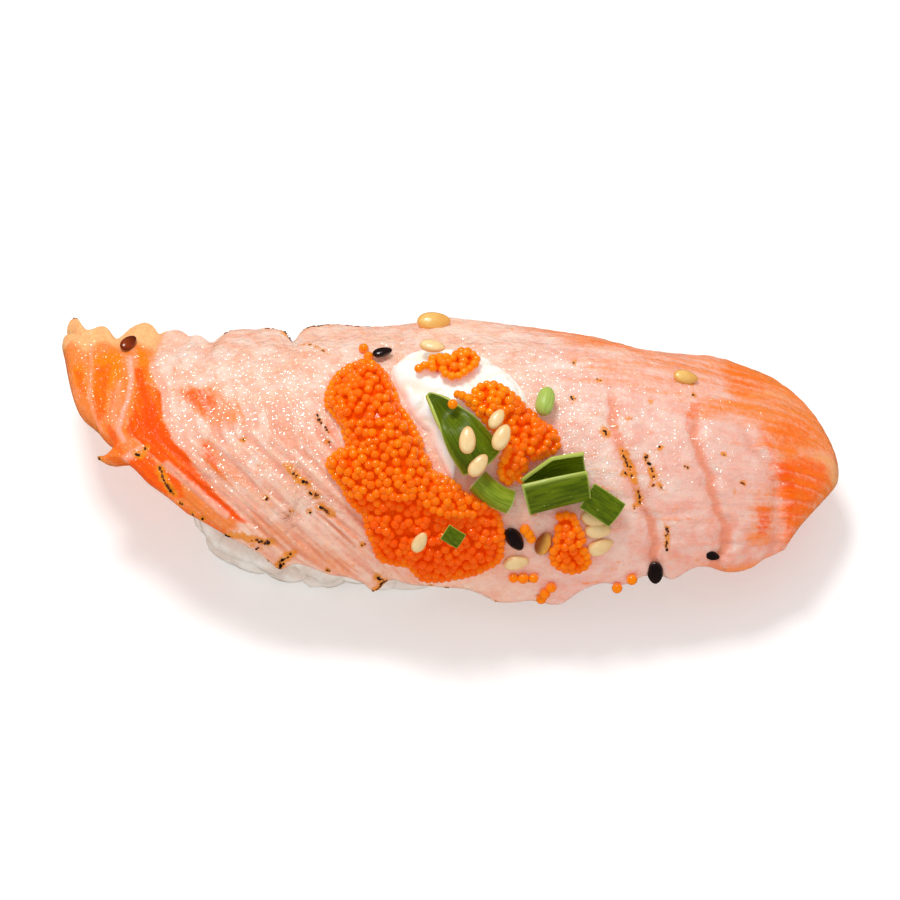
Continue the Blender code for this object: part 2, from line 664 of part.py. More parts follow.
def build_rice(slice_tree, home, parent):
    """The ball of rice: its core with the grains that show fused on."""
    colour = new_material("rice", (0.78, 0.7, 0.6), 0.4)
    part = keep_object("rice_ball", rice_core(), colour, home, parent)
    draw = np.random.default_rng(5)
    grains = []
    places = []
    for _ in range(GRAIN_TRIES):
        along = math.sin(draw.uniform(-1.5, 1.5))
        turn = draw.uniform(-115, 115)
        size = [side * draw.uniform(0.9, 1.1) for side in GRAIN_SIZE]
        heading = Vector(draw.normal(size=3) * GRAIN_LIE)
        proud = draw.uniform(0.0, GRAIN_PROUD)
        spot = rice_place(along, turn)
        ahead = rice_place(min(along + 0.01, 0.999), turn)
        ahead -= rice_place(max(along - 0.01, -0.999), turn)
        around = rice_place(along, turn + 1) - rice_place(along, turn - 1)
        up = ahead.cross(around).normalized()
        place = spot + up * proud
        if any((place - other).length < GRAIN_SPACING for other in places):
            continue
        lie = (heading - up * heading.dot(up)).normalized()
        side = up.cross(lie)
        tips = [place + lie * size[0] * end for end in (-0.5, -0.3, 0.3, 0.5)]
        tips += [place + side * size[1] * end for end in (-0.5, 0.5)]
        tips += [place + up * size[2] * 0.5 + lie * size[0] * end for end in (-0.25, 0.0, 0.25)]
        if min(tip.z for tip in tips) < GRAIN_FLOOR:
            continue
        if all(clear_of(tip, [slice_tree], GAP * 2) for tip in tips):
            places.append(place)
            grains.append(new_grain(place, lie, up, size))
        if len(grains) == MOST_GRAINS:
            break
    fuse(part, grains)
    return part


def main():
    """Builds every part of the nigiri."""
    for old in list(bpy.data.objects):
        bpy.data.objects.remove(old)
    home = bpy.data.collections.new("seared_salmon_nigiri")
    bpy.context.scene.collection.children.link(home)
    parent = bpy.data.objects.new("nigiri", None)
    home.objects.link(parent)

    salmon = build_slice(home, parent)
    build_rice(tree_of(salmon), home, parent)
    cream, cream_patch = build_cream(home, parent)
    scallions = build_scallions(home, parent)
    neighbours = [tree_of(piece) for piece in [cream, *scallions]]

    def cream_top(x, slide):
        """Lift over the cream, or over the slice beside it."""
        return cream_patch.top(x, slide) + FACET_GAP

    orange = new_material("roe", (0.95, 0.12, 0.005), 0.2)
    heaps = [
        ("roe_main", ROE_MAIN_OUTLINE, ROE_MAIN_MIDDLE, slice_top, 2.5 * MM, 18, ROE_MAIN_SEEDS),
        ("roe_side", ROE_SIDE_OUTLINE, ROE_SIDE_MIDDLE, cream_top, 1.8 * MM, 14, ROE_SIDE_SEEDS),
        ("roe_crest", ROE_CREST_OUTLINE, ROE_CREST_MIDDLE, cream_top, 0.7 * MM, 12, []),
        ("roe_front", ROE_FRONT_OUTLINE, ROE_FRONT_MIDDLE, slice_top, 0.8 * MM, 12, []),
    ]
    for name, outline, middle, under, height, sides, seeds in heaps:
        patch = Patch(outline, middle, under, height, inset=HEAP_INSET)
        heap = build_roe(name, patch, sides, seeds, neighbours, home, parent, orange)
        neighbours.append(tree_of(heap))
    dress_slice(salmon)


main()
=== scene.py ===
"""Dresses the seared salmon nigiri: slice, rice, roe, cream, scallion and sesame."""

import logging
import math
from collections.abc import Callable, Sequence
from dataclasses import dataclass
from enum import Enum

import bpy
import numpy as np
from mathutils import Matrix, Vector, noise


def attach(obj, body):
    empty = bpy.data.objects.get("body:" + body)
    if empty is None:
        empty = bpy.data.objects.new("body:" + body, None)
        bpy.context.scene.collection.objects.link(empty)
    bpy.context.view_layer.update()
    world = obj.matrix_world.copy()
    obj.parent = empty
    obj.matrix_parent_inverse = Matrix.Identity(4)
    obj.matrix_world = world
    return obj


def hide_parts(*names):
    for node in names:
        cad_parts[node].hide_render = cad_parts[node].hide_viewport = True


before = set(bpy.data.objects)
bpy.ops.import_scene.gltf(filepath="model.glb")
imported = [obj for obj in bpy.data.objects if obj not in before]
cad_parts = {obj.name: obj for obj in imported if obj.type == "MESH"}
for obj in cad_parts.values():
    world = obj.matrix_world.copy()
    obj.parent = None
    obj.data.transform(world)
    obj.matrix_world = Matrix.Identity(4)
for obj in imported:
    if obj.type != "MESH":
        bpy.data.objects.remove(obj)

LOG = logging.getLogger("nigiri")
BODY = "root"
MM = 0.001
GAP = 0.3 * MM
UNROLL_MM = 18.0
UNROLL = UNROLL_MM * MM
TO_PLAN = (1, math.radians(1) * UNROLL_MM)

Array = np.ndarray
Knots = Sequence[Sequence[float]]
Colour = tuple[float, float, float]


class Slot(Enum):
    """Material slots of the part's record."""

    RICE = "rice"
    SALMON = "salmon"
    CREAM = "cream"
    ROE = "roe"
    SCALLION = "scallion"
    SESAME_WHITE = "sesame_white"
    SESAME_BLACK = "sesame_black"


def tone(red: float, green: float, blue: float) -> Colour:
    """Turns display values from 0 to 255 into linear values.

    Args:
        red: Red value.
        green: Green value.
        blue: Blue value.

    Returns:
        The linear colour.
    """
    values = (v / 255 for v in (red, green, blue))
    return tuple(v / 12.92 if v < 0.04045 else ((v + 0.055) / 1.055) ** 2.4 for v in values)


def smooth(knots: Knots, at: Array | float) -> Array:
    """Reads a smooth curve through knots, level past both ends.

    Args:
        knots: Rows of (position, value).
        at: Where to read it.

    Returns:
        The values.
    """
    places, values = np.array(knots, float).T
    slopes = np.gradient(values, places)
    at = np.asarray(at, float)
    left = np.clip(np.searchsorted(places, at) - 1, 0, len(places) - 2)
    span = places[left + 1] - places[left]
    t = np.clip((at - places[left]) / span, 0, 1)
    rest = 1 - t
    ends = rest**2 * (1 + 2 * t) * values[left] + t**2 * (3 - 2 * t) * values[left + 1]
    return ends + span * t * rest * (rest * slopes[left] - t * slopes[left + 1])


def ease(low: float, high: float, at: Array) -> Array:
    """Rises smoothly from 0 at low to 1 at high."""
    t = np.clip((at - low) / (high - low), 0, 1)
    return t * t * (3 - 2 * t)


def ripple(points: Array, size: float, seed: float = 0.0) -> Array:
    """Smooth noise over points.

    Args:
        points: Places, one a row.
        size: Width of a lump, in the unit of the points.
        seed: Shift that gives another pattern.

    Returns:
        Values from about -1 to 1.
    """
    shift = Vector((seed + 0.31, 2.3 * seed + 0.47, 0.53 - seed))
    return np.array([noise.noise(Vector(p) / size + shift) for p in points])


@dataclass(frozen=True)
class Drape:
    """The underside of the slice, as it lies over the rice: everything is set out on it."""

    stations: Knots = (
        (-46.0, 6.1, 13.5, 5.0, 5.5),
        (-40.0, 4.6, 13.5, 4.5, 7.5),
        (-33.0, 2.3, 13.4, 4.0, 10.6),
        (-25.0, 1.2, 13.6, 3.8, 12.8),
        (-12.0, 0.6, 13.8, 3.6, 13.6),
        (5.0, 0.6, 13.8, 3.6, 13.8),
        (20.0, -0.2, 12.9, 3.4, 13.2),
        (30.0, -0.9, 12.1, 2.6, 11.2),
        (38.0, -1.0, 10.9, 1.6, 8.5),
        (46.0, -3.2, 8.0, 1.0, 3.9),
    )

    def section(self, x: Array) -> list[Array]:
        """Middle, half width, springing height and rise at x, in metres."""
        rows = np.array(self.stations) * MM
        return [smooth(rows[:, (0, k)], x) for k in range(1, 5)]

    def underside(self, x: Array, angle: Array) -> Array:
        """Points of the underside.

        Args:
            x: Places along the slice, in metres.
            angle: Degrees round the ridge, negative to the front.

        Returns:
            Points, one a row.
        """
        middle, half_width, springing, rise = self.section(x)
        turn = np.radians(angle)
        across = middle + half_width * np.sin(turn)
        up = springing + rise * np.cos(turn)
        return np.stack([x + 0 * turn, across, up], axis=-1)

    def outward(self, x: Array, angle: Array) -> Array:
        """Unit normals of the underside, out of the rice."""
        along = self.underside(x + 0.05 * MM, angle) - self.underside(x - 0.05 * MM, angle)
        around = self.underside(x, angle + 0.2) - self.underside(x, angle - 0.2)
        normal = np.cross(along, around)
        return normal / np.linalg.norm(normal, axis=-1, keepdims=True)

    def place(self, x: Array, angle: Array, lift: Array) -> Array:
        """Points at a lift over the underside.

        Args:
            x: Places along the slice, in metres.
            angle: Degrees round the ridge.
            lift: Heights along the normal, in metres.

        Returns:
            Points, one a row.
        """
        x, angle, lift = (np.asarray(v, float) for v in (x, angle, lift))
        return self.underside(x, angle) + self.outward(x, angle) * lift[..., None]

    def frame_at(self, x: float, angle: float, lift: float, turn: float, tilt: float = 0.0) -> Matrix:
        """Matrix that lays a piece on the drape.

        Args:
            x: Place along the slice, in metres.
            angle: Degrees round the ridge.
            lift: Height along the normal, in metres.
            turn: Degrees from +X in plan.
            tilt: Degrees that its far end is raised.

        Returns:
            The matrix.
        """
        up = Vector(self.outward(np.float64(x), np.float64(angle)))
        heading = Vector((math.cos(math.radians(turn)), math.sin(math.radians(turn)), 0))
        along = (heading - up * heading.dot(up)).normalized()
        side = up.cross(along)
        axes = Matrix((along, side, up)).transposed().to_4x4()
        lean = Matrix.Rotation(math.radians(-tilt), 4, "Y")
        return Matrix.Translation(Vector(self.place(x, angle, lift))) @ axes @ lean


DRAPE = Drape()


# ---------------------------------------------------------------- making meshes


def deselect() -> None:
    """Deselects everything, so that an operator acts on the new piece alone."""
    if bpy.context.object and bpy.context.object.mode != "OBJECT":
        bpy.ops.object.mode_set(mode="OBJECT")
    bpy.ops.object.select_all(action="DESELECT")


def activate(piece: bpy.types.Object) -> None:
    """Makes a piece the one that operators act on."""
    deselect()
    piece.select_set(True)
    bpy.context.view_layer.objects.active = piece


def started(name: str) -> bpy.types.Object:
    """Names the primitive that was just added, and returns it."""
    piece = bpy.context.object
    piece.name = name
    piece.data.name = name
    return piece


def corners_of(piece: bpy.types.Object) -> Array:
    """Reads a piece's vertices, one a row."""
    flat = np.empty(len(piece.data.vertices) * 3)
    piece.data.vertices.foreach_get("co", flat)
    return flat.reshape(-1, 3)


def move_corners(piece: bpy.types.Object, corners: Array) -> None:
    """Puts a piece's vertices at new places."""
    piece.data.vertices.foreach_set("co", np.asarray(corners, np.float32).ravel())
    piece.data.update()


def apply_modifier(piece: bpy.types.Object, kind: str, **settings: object) -> None:
    """Adds a modifier to a piece and applies it.

    Args:
        piece: The piece.
        kind: Blender's name of the modifier's type.
        **settings: Its settings.
    """
    activate(piece)
    modifier = piece.modifiers.new(kind.lower(), kind)
    for key, value in settings.items():
        setattr(modifier, key, value)
    bpy.ops.object.modifier_apply(modifier=modifier.name)


def recalculate(piece: bpy.types.Object) -> None:
    """Merges doubles and turns every face outwards."""
    activate(piece)
    bpy.ops.object.mode_set(mode="EDIT")
    bpy.ops.mesh.select_all(action="SELECT")
    bpy.ops.mesh.remove_doubles(threshold=1e-6)
    bpy.ops.mesh.normals_make_consistent(inside=False)
    bpy.ops.object.mode_set(mode="OBJECT")


def write_values(piece: bpy.types.Object, name: str, values: Array) -> None:
    """Stores a value at each vertex, or a vector where the rows have three.

    Args:
        piece: The piece.
        name: Name that its finish reads.
        values: One value or row a vertex.
    """
    values = np.asarray(values, np.float32)
    kind, slot = ("FLOAT_VECTOR", "vector") if values.ndim == 2 else ("FLOAT", "value")
    layer = piece.data.attributes.new(name, kind, "POINT")
    layer.data.foreach_set(slot, values.ravel())


def sphere(name: str, sides: int, rings: int) -> bpy.types.Object:
    """Adds a ball of diameter 1 with its poles along Z.

    Args:
        name: Name of the piece.
        sides: Segments round it.
        rings: Rings from pole to pole.

    Returns:
        The ball.
    """
    deselect()
    bpy.ops.mesh.primitive_uv_sphere_add(segments=sides, ring_count=rings, radius=0.5)
    return started(name)


def sheet_grid(name: str, columns: int, rows: int) -> bpy.types.Object:
    """Adds a flat grid from -0.5 to 0.5.

    Args:
        name: Name of the piece.
        columns: Cells along X.
        rows: Cells along Y.

    Returns:
        The grid.
    """
    deselect()
    bpy.ops.mesh.primitive_grid_add(x_subdivisions=columns, y_subdivisions=rows, size=1.0)
    return started(name)


def copies(
    name: str, unit: bpy.types.Object, places: Sequence[Matrix], tints: Sequence[float]
) -> bpy.types.Object:
    """Copies one modelled shape to many places, as one piece.

    Args:
        name: Name of the new piece.
        unit: The shape, which is removed afterwards.
        places: A matrix for each copy.
        tints: A value from 0 to 1 for each copy, stored as "tint".

    Returns:
        The piece, with "own" holding each point's place on its own shape.
    """
    corners = corners_of(unit)
    faces = [list(face.vertices) for face in unit.data.polygons]
    turned = np.array(places, float)
    points = np.einsum("nij,kj->nki", turned[:, :3, :3], corners) + turned[:, None, :3, 3]
    flat = np.concatenate([np.array(face) for face in faces])
    sizes = np.array([len(face) for face in faces])
    count = len(places)
    loops = (flat[None] + len(corners) * np.arange(count)[:, None]).ravel()
    mesh = bpy.data.meshes.new(name)
    mesh.vertices.add(count * len(corners))
    mesh.vertices.foreach_set("co", points.astype(np.float32).ravel())
    mesh.loops.add(len(loops))
    mesh.loops.foreach_set("vertex_index", loops.astype(np.int32))
    mesh.polygons.add(count * len(faces))
    starts = np.concatenate([[0], np.cumsum(np.tile(sizes, count))[:-1]])
    mesh.polygons.foreach_set("loop_start", starts.astype(np.int32))
    mesh.update(calc_edges=True)
    mesh.shade_smooth()
    piece = bpy.data.objects.new(name, mesh)
    bpy.context.scene.collection.objects.link(piece)
    write_values(piece, "tint", np.repeat(np.array(tints, float), len(corners)))
    write_values(piece, "own", np.tile(corners, (count, 1)))
    bpy.data.objects.remove(unit)
    return piece


def settle(
    piece: bpy.types.Object, finish: bpy.types.Material, slot: Slot, nodes: Sequence[str] = ()
) -> None:
    """Dresses a piece, and says what it rides on and stands for.

    Args:
        piece: The piece.
        finish: Its material.
        slot: Its material slot.
        nodes: Solids that it replaces.
    """
    piece.data.materials.append(finish)
    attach(piece, BODY)
    if nodes:
        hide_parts(*nodes)
    corners = corners_of(piece) / MM
    low, high = corners.min(axis=0).round(2), corners.max(axis=0).round(2)
    faces = len(piece.data.polygons)
    LOG.info("%s: %d faces, slot %s, %s to %s mm", piece.name, faces, slot.value, low, high)


# ---------------------------------------------------------------- finishes


@dataclass
class Wiring:
    """Adds nodes to one tree and wires them."""

    tree: bpy.types.NodeTree

    def node(self, kind: str, inputs: dict | None = None, **settings: object) -> bpy.types.Node:
        """Adds a node.

        Args:
            kind: Its type, without the leading "ShaderNode".
            inputs: Values or links for its inputs, by name or number.
            **settings: Its properties.

        Returns:
            The node.
        """
        made = self.tree.nodes.new("ShaderNode" + kind)
        for key, value in settings.items():
            setattr(made, key, value)
        for key, value in (inputs or {}).items():
            self.feed(made.inputs[key], value)
        return made

    def feed(self, socket: bpy.types.NodeSocket, value: object) -> None:
        """Links an output to a socket, or sets the socket's value."""
        if isinstance(value, bpy.types.NodeSocket):
            self.tree.links.new(value, socket)
        elif socket.type == "RGBA":
            socket.default_value = (*value, 1.0)
        else:
            socket.default_value = value

    def attribute(self, name: str, output: str = "Fac") -> bpy.types.NodeSocket:
        """Reads what is stored at the vertices."""
        return self.node("Attribute", attribute_name=name).outputs[output]

    def noise(self, vector: object, scale: object, detail: float = 3.0, rough: float = 0.55) -> object:
        """Noise from 0 to 1.

        Args:
            vector: Link to the coordinates.
            scale: Lumps a unit, or a link to it.
            detail: Octaves.
            rough: Weight of the finer octaves.

        Returns:
            Its value output.
        """
        inputs = {"Vector": vector, "Scale": scale, "Detail": detail, "Roughness": rough}
        return self.node("TexNoise", inputs).outputs[0]

    def math(self, operation: str, first: object, second: object) -> object:
        """One sum of two values or links.

        Args:
            operation: Blender's name of the sum.
            first: First value or link.
            second: Second value or link.

        Returns:
            Its value output.
        """
        return self.node("Math", {0: first, 1: second}, operation=operation).outputs[0]

    def ramp(
        self, value: object, low: float, high: float, to_low: float = 0.0, to_high: float = 1.0
    ) -> object:
        """Turns values from low to high into a smooth step.

        Args:
            value: The link.
            low: Where the step starts.
            high: Where it ends.
            to_low: Its value at the start.
            to_high: Its value at the end.

        Returns:
            Its value output.
        """
        inputs = {0: value, 1: low, 2: high, 3: to_low, 4: to_high}
        step = self.node("MapRange", inputs, interpolation_type="SMOOTHSTEP")
        return step.outputs[0]

    def mix(self, amount: object, first: object, second: object) -> object:
        """Mixes two colours.

        Args:
            amount: Share of the second.
            first: Colour or link.
            second: Colour or link.

        Returns:
            Its colour output.
        """
        made = self.node("Mix", data_type="RGBA")
        self.feed(made.inputs[0], amount)
        self.feed(made.inputs[6], first)
        self.feed(made.inputs[7], second)
        return made.outputs[2]

    def bump(self, height: object, distance: float, under: object = None) -> object:
        """Turns a height into a normal.

        Args:
            height: Link to heights from 0 to 1.
            distance: Height of 1, in metres.
            under: Normal that it is laid on.

        Returns:
            Its normal output.
        """
        made = self.node("Bump", {"Height": height, "Distance": distance})
        if under is not None:
            self.feed(made.inputs["Normal"], under)
        return made.outputs["Normal"]

    def group(self, tree: bpy.types.NodeTree, **inputs: object) -> bpy.types.Node:
        """Adds a shared group.

        Args:
            tree: The group.
            **inputs: Values or links, with _ for a space.

        Returns:
            Its node.
        """
        made = self.node("Group", node_tree=tree)
        for key, value in inputs.items():
            self.feed(made.inputs[key.replace("_", " ")], value)
        return made

    def place(self) -> object:
        """Object coordinates."""
        return self.node("TexCoord").outputs["Object"]

    def mottled(
        self, place: object, scale: float, amount: object, colour: object, tint: Colour
    ) -> bpy.types.NodeSocket:
        """Breaks up a colour by soft noise of another.

        Args:
            place: Link to the coordinates.
            scale: Lumps a metre.
            amount: Most that the other colour covers.
            colour: Colour or link.
            tint: The other colour.

        Returns:
            Its colour output.
        """
        inputs = {"Vector": place, "Scale": scale, "Amount": amount, "Color": colour, "Tint": tint}
        return self.group(MOTTLE, **inputs).outputs["Color"]

    def stretched(self, vector: object, scale: Sequence[float]) -> bpy.types.NodeSocket:
        """Coordinates multiplied axis by axis."""
        return self.node("Mapping", {"Vector": vector, "Scale": scale}).outputs[0]


class Shade(Wiring):
    """One material and its Principled shader."""

    def __init__(self, name: str) -> None:
        """Starts a material with only its shader."""
        self.material = bpy.data.materials.new(name)
        self.material.use_nodes = True
        super().__init__(self.material.node_tree)
        self.shader = self.tree.nodes["Principled BSDF"]

    def finish(self, **sockets: object) -> bpy.types.Material:
        """Feeds the shader's sockets.

        Args:
            **sockets: Values or links, with _ for a space.

        Returns:
            The material.
        """
        for key, value in sockets.items():
            self.feed(self.shader.inputs[key.replace("_", " ")], value)
        return self.material


def build_group(
    name: str,
    inputs: Sequence[tuple[str, str, object]],
    outputs: Sequence[tuple[str, str]],
    wire: Callable[[Wiring, dict], dict],
) -> bpy.types.NodeTree:
    """Builds a shared shader node group.

    Args:
        name: Its name.
        inputs: Rows of name, socket type and value.
        outputs: Rows of name and socket type.
        wire: Takes a node maker and the inputs, and returns what feeds each output.

    Returns:
        The group.
    """
    tree = bpy.data.node_groups.new(name, "ShaderNodeTree")
    for label, kind, value in inputs:
        socket = tree.interface.new_socket(label, in_out="INPUT", socket_type="NodeSocket" + kind)
        if value is not None:
            socket.default_value = value
    for label, kind in outputs:
        tree.interface.new_socket(label, in_out="OUTPUT", socket_type="NodeSocket" + kind)
    entry = tree.nodes.new("NodeGroupInput")
    leave = tree.nodes.new("NodeGroupOutput")
    made = wire(Wiring(tree), {label: entry.outputs[label] for label, _, _ in inputs})
    for label, _ in outputs:
        tree.links.new(made[label], leave.inputs[label])
    return tree


def wire_mottle(maker: Wiring, given: dict) -> dict:
    """Two colours mixed by soft noise.

    Args:
        maker: Adds the nodes.
        given: Inputs by name.

    Returns:
        Outputs by name.
    """
    step = maker.ramp(maker.noise(given["Vector"], given["Scale"], 4.0, 0.6), 0.32, 0.68)
    amount = maker.math("MULTIPLY", step, given["Amount"])
    return {"Color": maker.mix(amount, given["Color"], given["Tint"])}


def wire_wet_skin(maker: Wiring, given: dict) -> dict:
    """Fine lumps of a wet skin.

    Args:
        maker: Adds the nodes.
        given: Inputs by name.

    Returns:
        Outputs by name.
    """
    lumps = maker.noise(given["Vector"], given["Scale"], 2.0, 0.6)
    crests = maker.noise(given["Vector"], maker.math("MULTIPLY", given["Scale"], 2.3), 1.0, 0.5)
    inputs = {"Vector": given["Vector"], "Scale": given["Scale"], "Randomness": 1.0}
    cells = maker.node("TexVoronoi", inputs, feature="F1")
    domes = maker.math("SUBTRACT", 1.0, maker.math("POWER", cells.outputs["Distance"], 2.0))
    return {"Height": maker.math("ADD", lumps, maker.math("MULTIPLY", crests, 0.4)), "Domes": domes}


def wire_sparkle(maker: Wiring, given: dict) -> dict:
    """Painted highlights: tiny glints scattered over a surface.

    Args:
        maker: Adds the nodes.
        given: Inputs by name.

    Returns:
        Outputs by name.
    """
    inputs = {"Vector": given["Vector"], "Scale": 2.4, "Detail": 2.0}
    shake = maker.node("TexNoise", inputs).outputs["Color"]
    for operation, by in (("SUBTRACT", 0.5), ("MULTIPLY", 1.3)):
        shake = maker.node("VectorMath", {0: shake, 1: (by, by, by)}, operation=operation).outputs[0]
    moved = maker.node("VectorMath", {0: given["Vector"], 1: shake}, operation="ADD").outputs[0]
    inputs = {"Vector": moved, "Scale": given["Scale"], "Randomness": 1.0}
    cells = maker.node("TexVoronoi", inputs, voronoi_dimensions="2D", feature="F1")
    random = maker.node("SeparateColor", {0: cells.outputs["Color"]}).outputs[0]
    size = maker.node("MapRange", {0: random, 1: 0.35, 2: 1.0, 3: 0.0, 4: 0.27}).outputs[0]
    inner = maker.math("MULTIPLY", size, 0.25)
    fade = {0: cells.outputs["Distance"], 1: inner, 2: size, 3: 1.0, 4: 0.0}
    dot = maker.node("MapRange", fade).outputs[0]
    chosen = maker.ramp(maker.noise(given["Vector"], 0.35, 2.0, 0.5), 0.36, 0.54)
    return {"Glints": maker.math("MULTIPLY", dot, chosen)}


MOTTLE = build_group(
    "mottle",
    [
        ("Vector", "Vector", None),
        ("Scale", "Float", 500.0),
        ("Amount", "Float", 1.0),
        ("Color", "Color", (1, 1, 1, 1)),
        ("Tint", "Color", (0, 0, 0, 1)),
    ],
    [("Color", "Color")],
    wire_mottle,
)
WET_SKIN = build_group(
    "wet_skin",
    [("Vector", "Vector", None), ("Scale", "Float", 1500.0)],
    [("Height", "Float"), ("Domes", "Float")],
    wire_wet_skin,
)
SPARKLE = build_group(
    "sparkle",
    [("Vector", "Vector", None), ("Scale", "Float", 1.0)],
    [("Glints", "Float")],
    wire_sparkle,
)


@dataclass(frozen=True)
class SalmonFinish:
    """Seared salmon: pale cooked flesh, raw orange bands, fat lines, seams and brown halos."""

    cooked: Colour = tone(253, 194, 164)
    mauve: Colour = tone(244, 190, 174)
    blush: Colour = tone(247, 152, 126)
    milky: Colour = tone(255, 234, 220)
    raw: Colour = tone(255, 86, 0)
    raw_light: Colour = tone(255, 122, 14)
    raw_deep: Colour = tone(250, 70, 0)
    golden: Colour = tone(255, 134, 2)
    peach: Colour = tone(254, 136, 56)
    fringe: Colour = tone(252, 190, 128)
    fat: Colour = tone(254, 178, 150)
    seam: Colour = tone(242, 146, 112)
    toast: Colour = tone(243, 144, 26)
    painted_glints: Colour = tone(255, 240, 222)

    def build(self) -> bpy.types.Material:
        """Wires the finish and returns it."""
        shade = Shade("seared_salmon")
        place = shade.place()
        grain = shade.attribute("grain", "Vector")
        fine = shade.noise(place, 1700.0, 3.0, 0.65)
        spread = shade.math("SUBTRACT", fine, 0.5)
        streak = shade.noise(shade.stretched(grain, (0.9, 0.1, 1.0)), 1.0, 3.0, 0.55)
        base = shade.mix(shade.attribute("head"), self.cooked, self.mauve)
        flesh = shade.mottled(place, 640.0, shade.attribute("blush"), base, self.blush)
        cloud = shade.ramp(shade.noise(place, 380.0, 3.0, 0.6), 0.3, 0.72)
        # The milky field carries painted shade, less white low on the front and in the wrinkle valleys,
        # and the painted lip highlight, besides pale cooked patches.
        flesh = shade.mix(shade.math("MULTIPLY", shade.attribute("milky"), cloud), flesh, self.milky)
        thread = shade.math("MULTIPLY", shade.ramp(streak, 0.48, 0.7), shade.attribute("thread"))
        # Painted shade: the wrinkle valleys (the fold field) also go towards blush.
        thread = shade.math("MAXIMUM", thread, shade.attribute("fold"))
        flesh = shade.mix(thread, flesh, self.blush)
        broken = shade.math("MULTIPLY", shade.math("SUBTRACT", streak, 0.5), 1.1)
        broken = shade.math("ADD", broken, shade.math("MULTIPLY", spread, 0.7))
        band = shade.mix(shade.ramp(streak, 0.42, 0.66, 0.0, 0.75), self.raw, self.raw_light)
        for name, colour, low, high in (
            ("peach", self.peach, 0.05, 0.95),
            ("fringe", self.fringe, 0.05, 0.95),
            ("golden", self.golden, 0.1, 0.95),
            ("raw", band, 0.12, 0.85),
            ("deep", self.raw_deep, 0.2, 0.95),
        ):
            at = shade.math("ADD", shade.attribute(name), broken)
            flesh = shade.mix(shade.ramp(at, low, high), flesh, colour)
        fat_at = shade.math("ADD", shade.attribute("fat"), shade.math("MULTIPLY", spread, 0.8))
        flesh = shade.mix(shade.ramp(fat_at, 0.2, 0.95), flesh, self.fat)
        flesh = shade.mix(shade.attribute("seam"), flesh, self.seam)
        speck = shade.ramp(shade.noise(place, 620.0, 2.0, 0.5), 0.69, 0.76)
        flesh = shade.mix(shade.math("MULTIPLY", speck, 0.5), flesh, self.toast)
        halo = shade.math("ADD", shade.attribute("char"), shade.math("MULTIPLY", spread, 1.8))
        flesh = shade.mix(shade.ramp(halo, 0.22, 0.85, 0.0, 0.9), flesh, self.toast)
        # Painted highlights: glints scattered where the surface is wet, mixed towards near white.
        glint_at = shade.stretched(grain, (1.8, 1.1, 1.0))
        painted_glints = shade.group(SPARKLE, Vector=glint_at, Scale=1.0).outputs["Glints"]
        painted_glints = shade.math("MULTIPLY", painted_glints, shade.attribute("wet"))
        flesh = shade.mix(shade.math("MULTIPLY", painted_glints, 0.6), flesh, self.painted_glints)
        skin = shade.group(WET_SKIN, Vector=place, Scale=1380.0)
        relief = shade.bump(skin.outputs["Height"], 0.00016)
        relief = shade.bump(streak, 0.0002, relief)
        wet = shade.bump(skin.outputs["Domes"], 0.00034)
        return shade.finish(
            Base_Color=flesh,
            Roughness=shade.ramp(fine, 0.3, 0.7, 0.2, 0.4),
            Subsurface_Weight=0.2,
            Subsurface_Radius=(1.0, 0.35, 0.15),
            Subsurface_Scale=0.0012,
            # Painted glow: the flesh gives off a little light in its own colour.
            Emission_Color=flesh,
            Emission_Strength=0.055,
            Specular_IOR_Level=0.15,
            Coat_Weight=shade.ramp(shade.attribute("wet"), 0.0, 1.0, 0.08, 0.95),
            Coat_IOR=1.8,
            Coat_Roughness=0.08,
            Coat_Normal=wet,
            Normal=relief,
        )


@dataclass(frozen=True)
class CharFinish:
    """Burnt crust: black with brown edges."""

    black: Colour = tone(20, 9, 4)
    brown: Colour = tone(140, 58, 6)

    def build(self) -> bpy.types.Material:
        """Wires the finish and returns it."""
        shade = Shade("burnt_crust")
        place = shade.place()
        colour = shade.mix(shade.attribute("tint"), self.black, self.brown)
        rough = shade.noise(place, 5000.0, 2.0)
        return shade.finish(
            Base_Color=colour,
            Roughness=shade.ramp(rough, 0.3, 0.7, 0.35, 0.7),
            Normal=shade.bump(rough, 0.00006),
        )


@dataclass(frozen=True)
class RiceFinish:
    """Cooked rice: milky, slightly clear grains with a damp gloss."""

    milk: Colour = tone(250, 242, 232)
    shadow: Colour = tone(230, 210, 194)

    def build(self) -> bpy.types.Material:
        """Wires the finish and returns it."""
        shade = Shade("cooked_rice")
        place = shade.place()
        colour = shade.mottled(place, 420.0, shade.attribute("tint"), self.milk, self.shadow)
        skin = shade.group(WET_SKIN, Vector=place, Scale=900.0)
        return shade.finish(
            Base_Color=colour,
            Roughness=0.3,
            Subsurface_Weight=0.1,
            Subsurface_Radius=(1.0, 0.88, 0.75),
            Subsurface_Scale=0.0015,
            # Painted glow: the rice gives off a little milky light.
            Emission_Color=self.milk,
            Emission_Strength=0.04,
            Coat_Weight=0.3,
            Coat_Roughness=0.15,
            Normal=shade.bump(skin.outputs["Height"], 0.00012),
        )


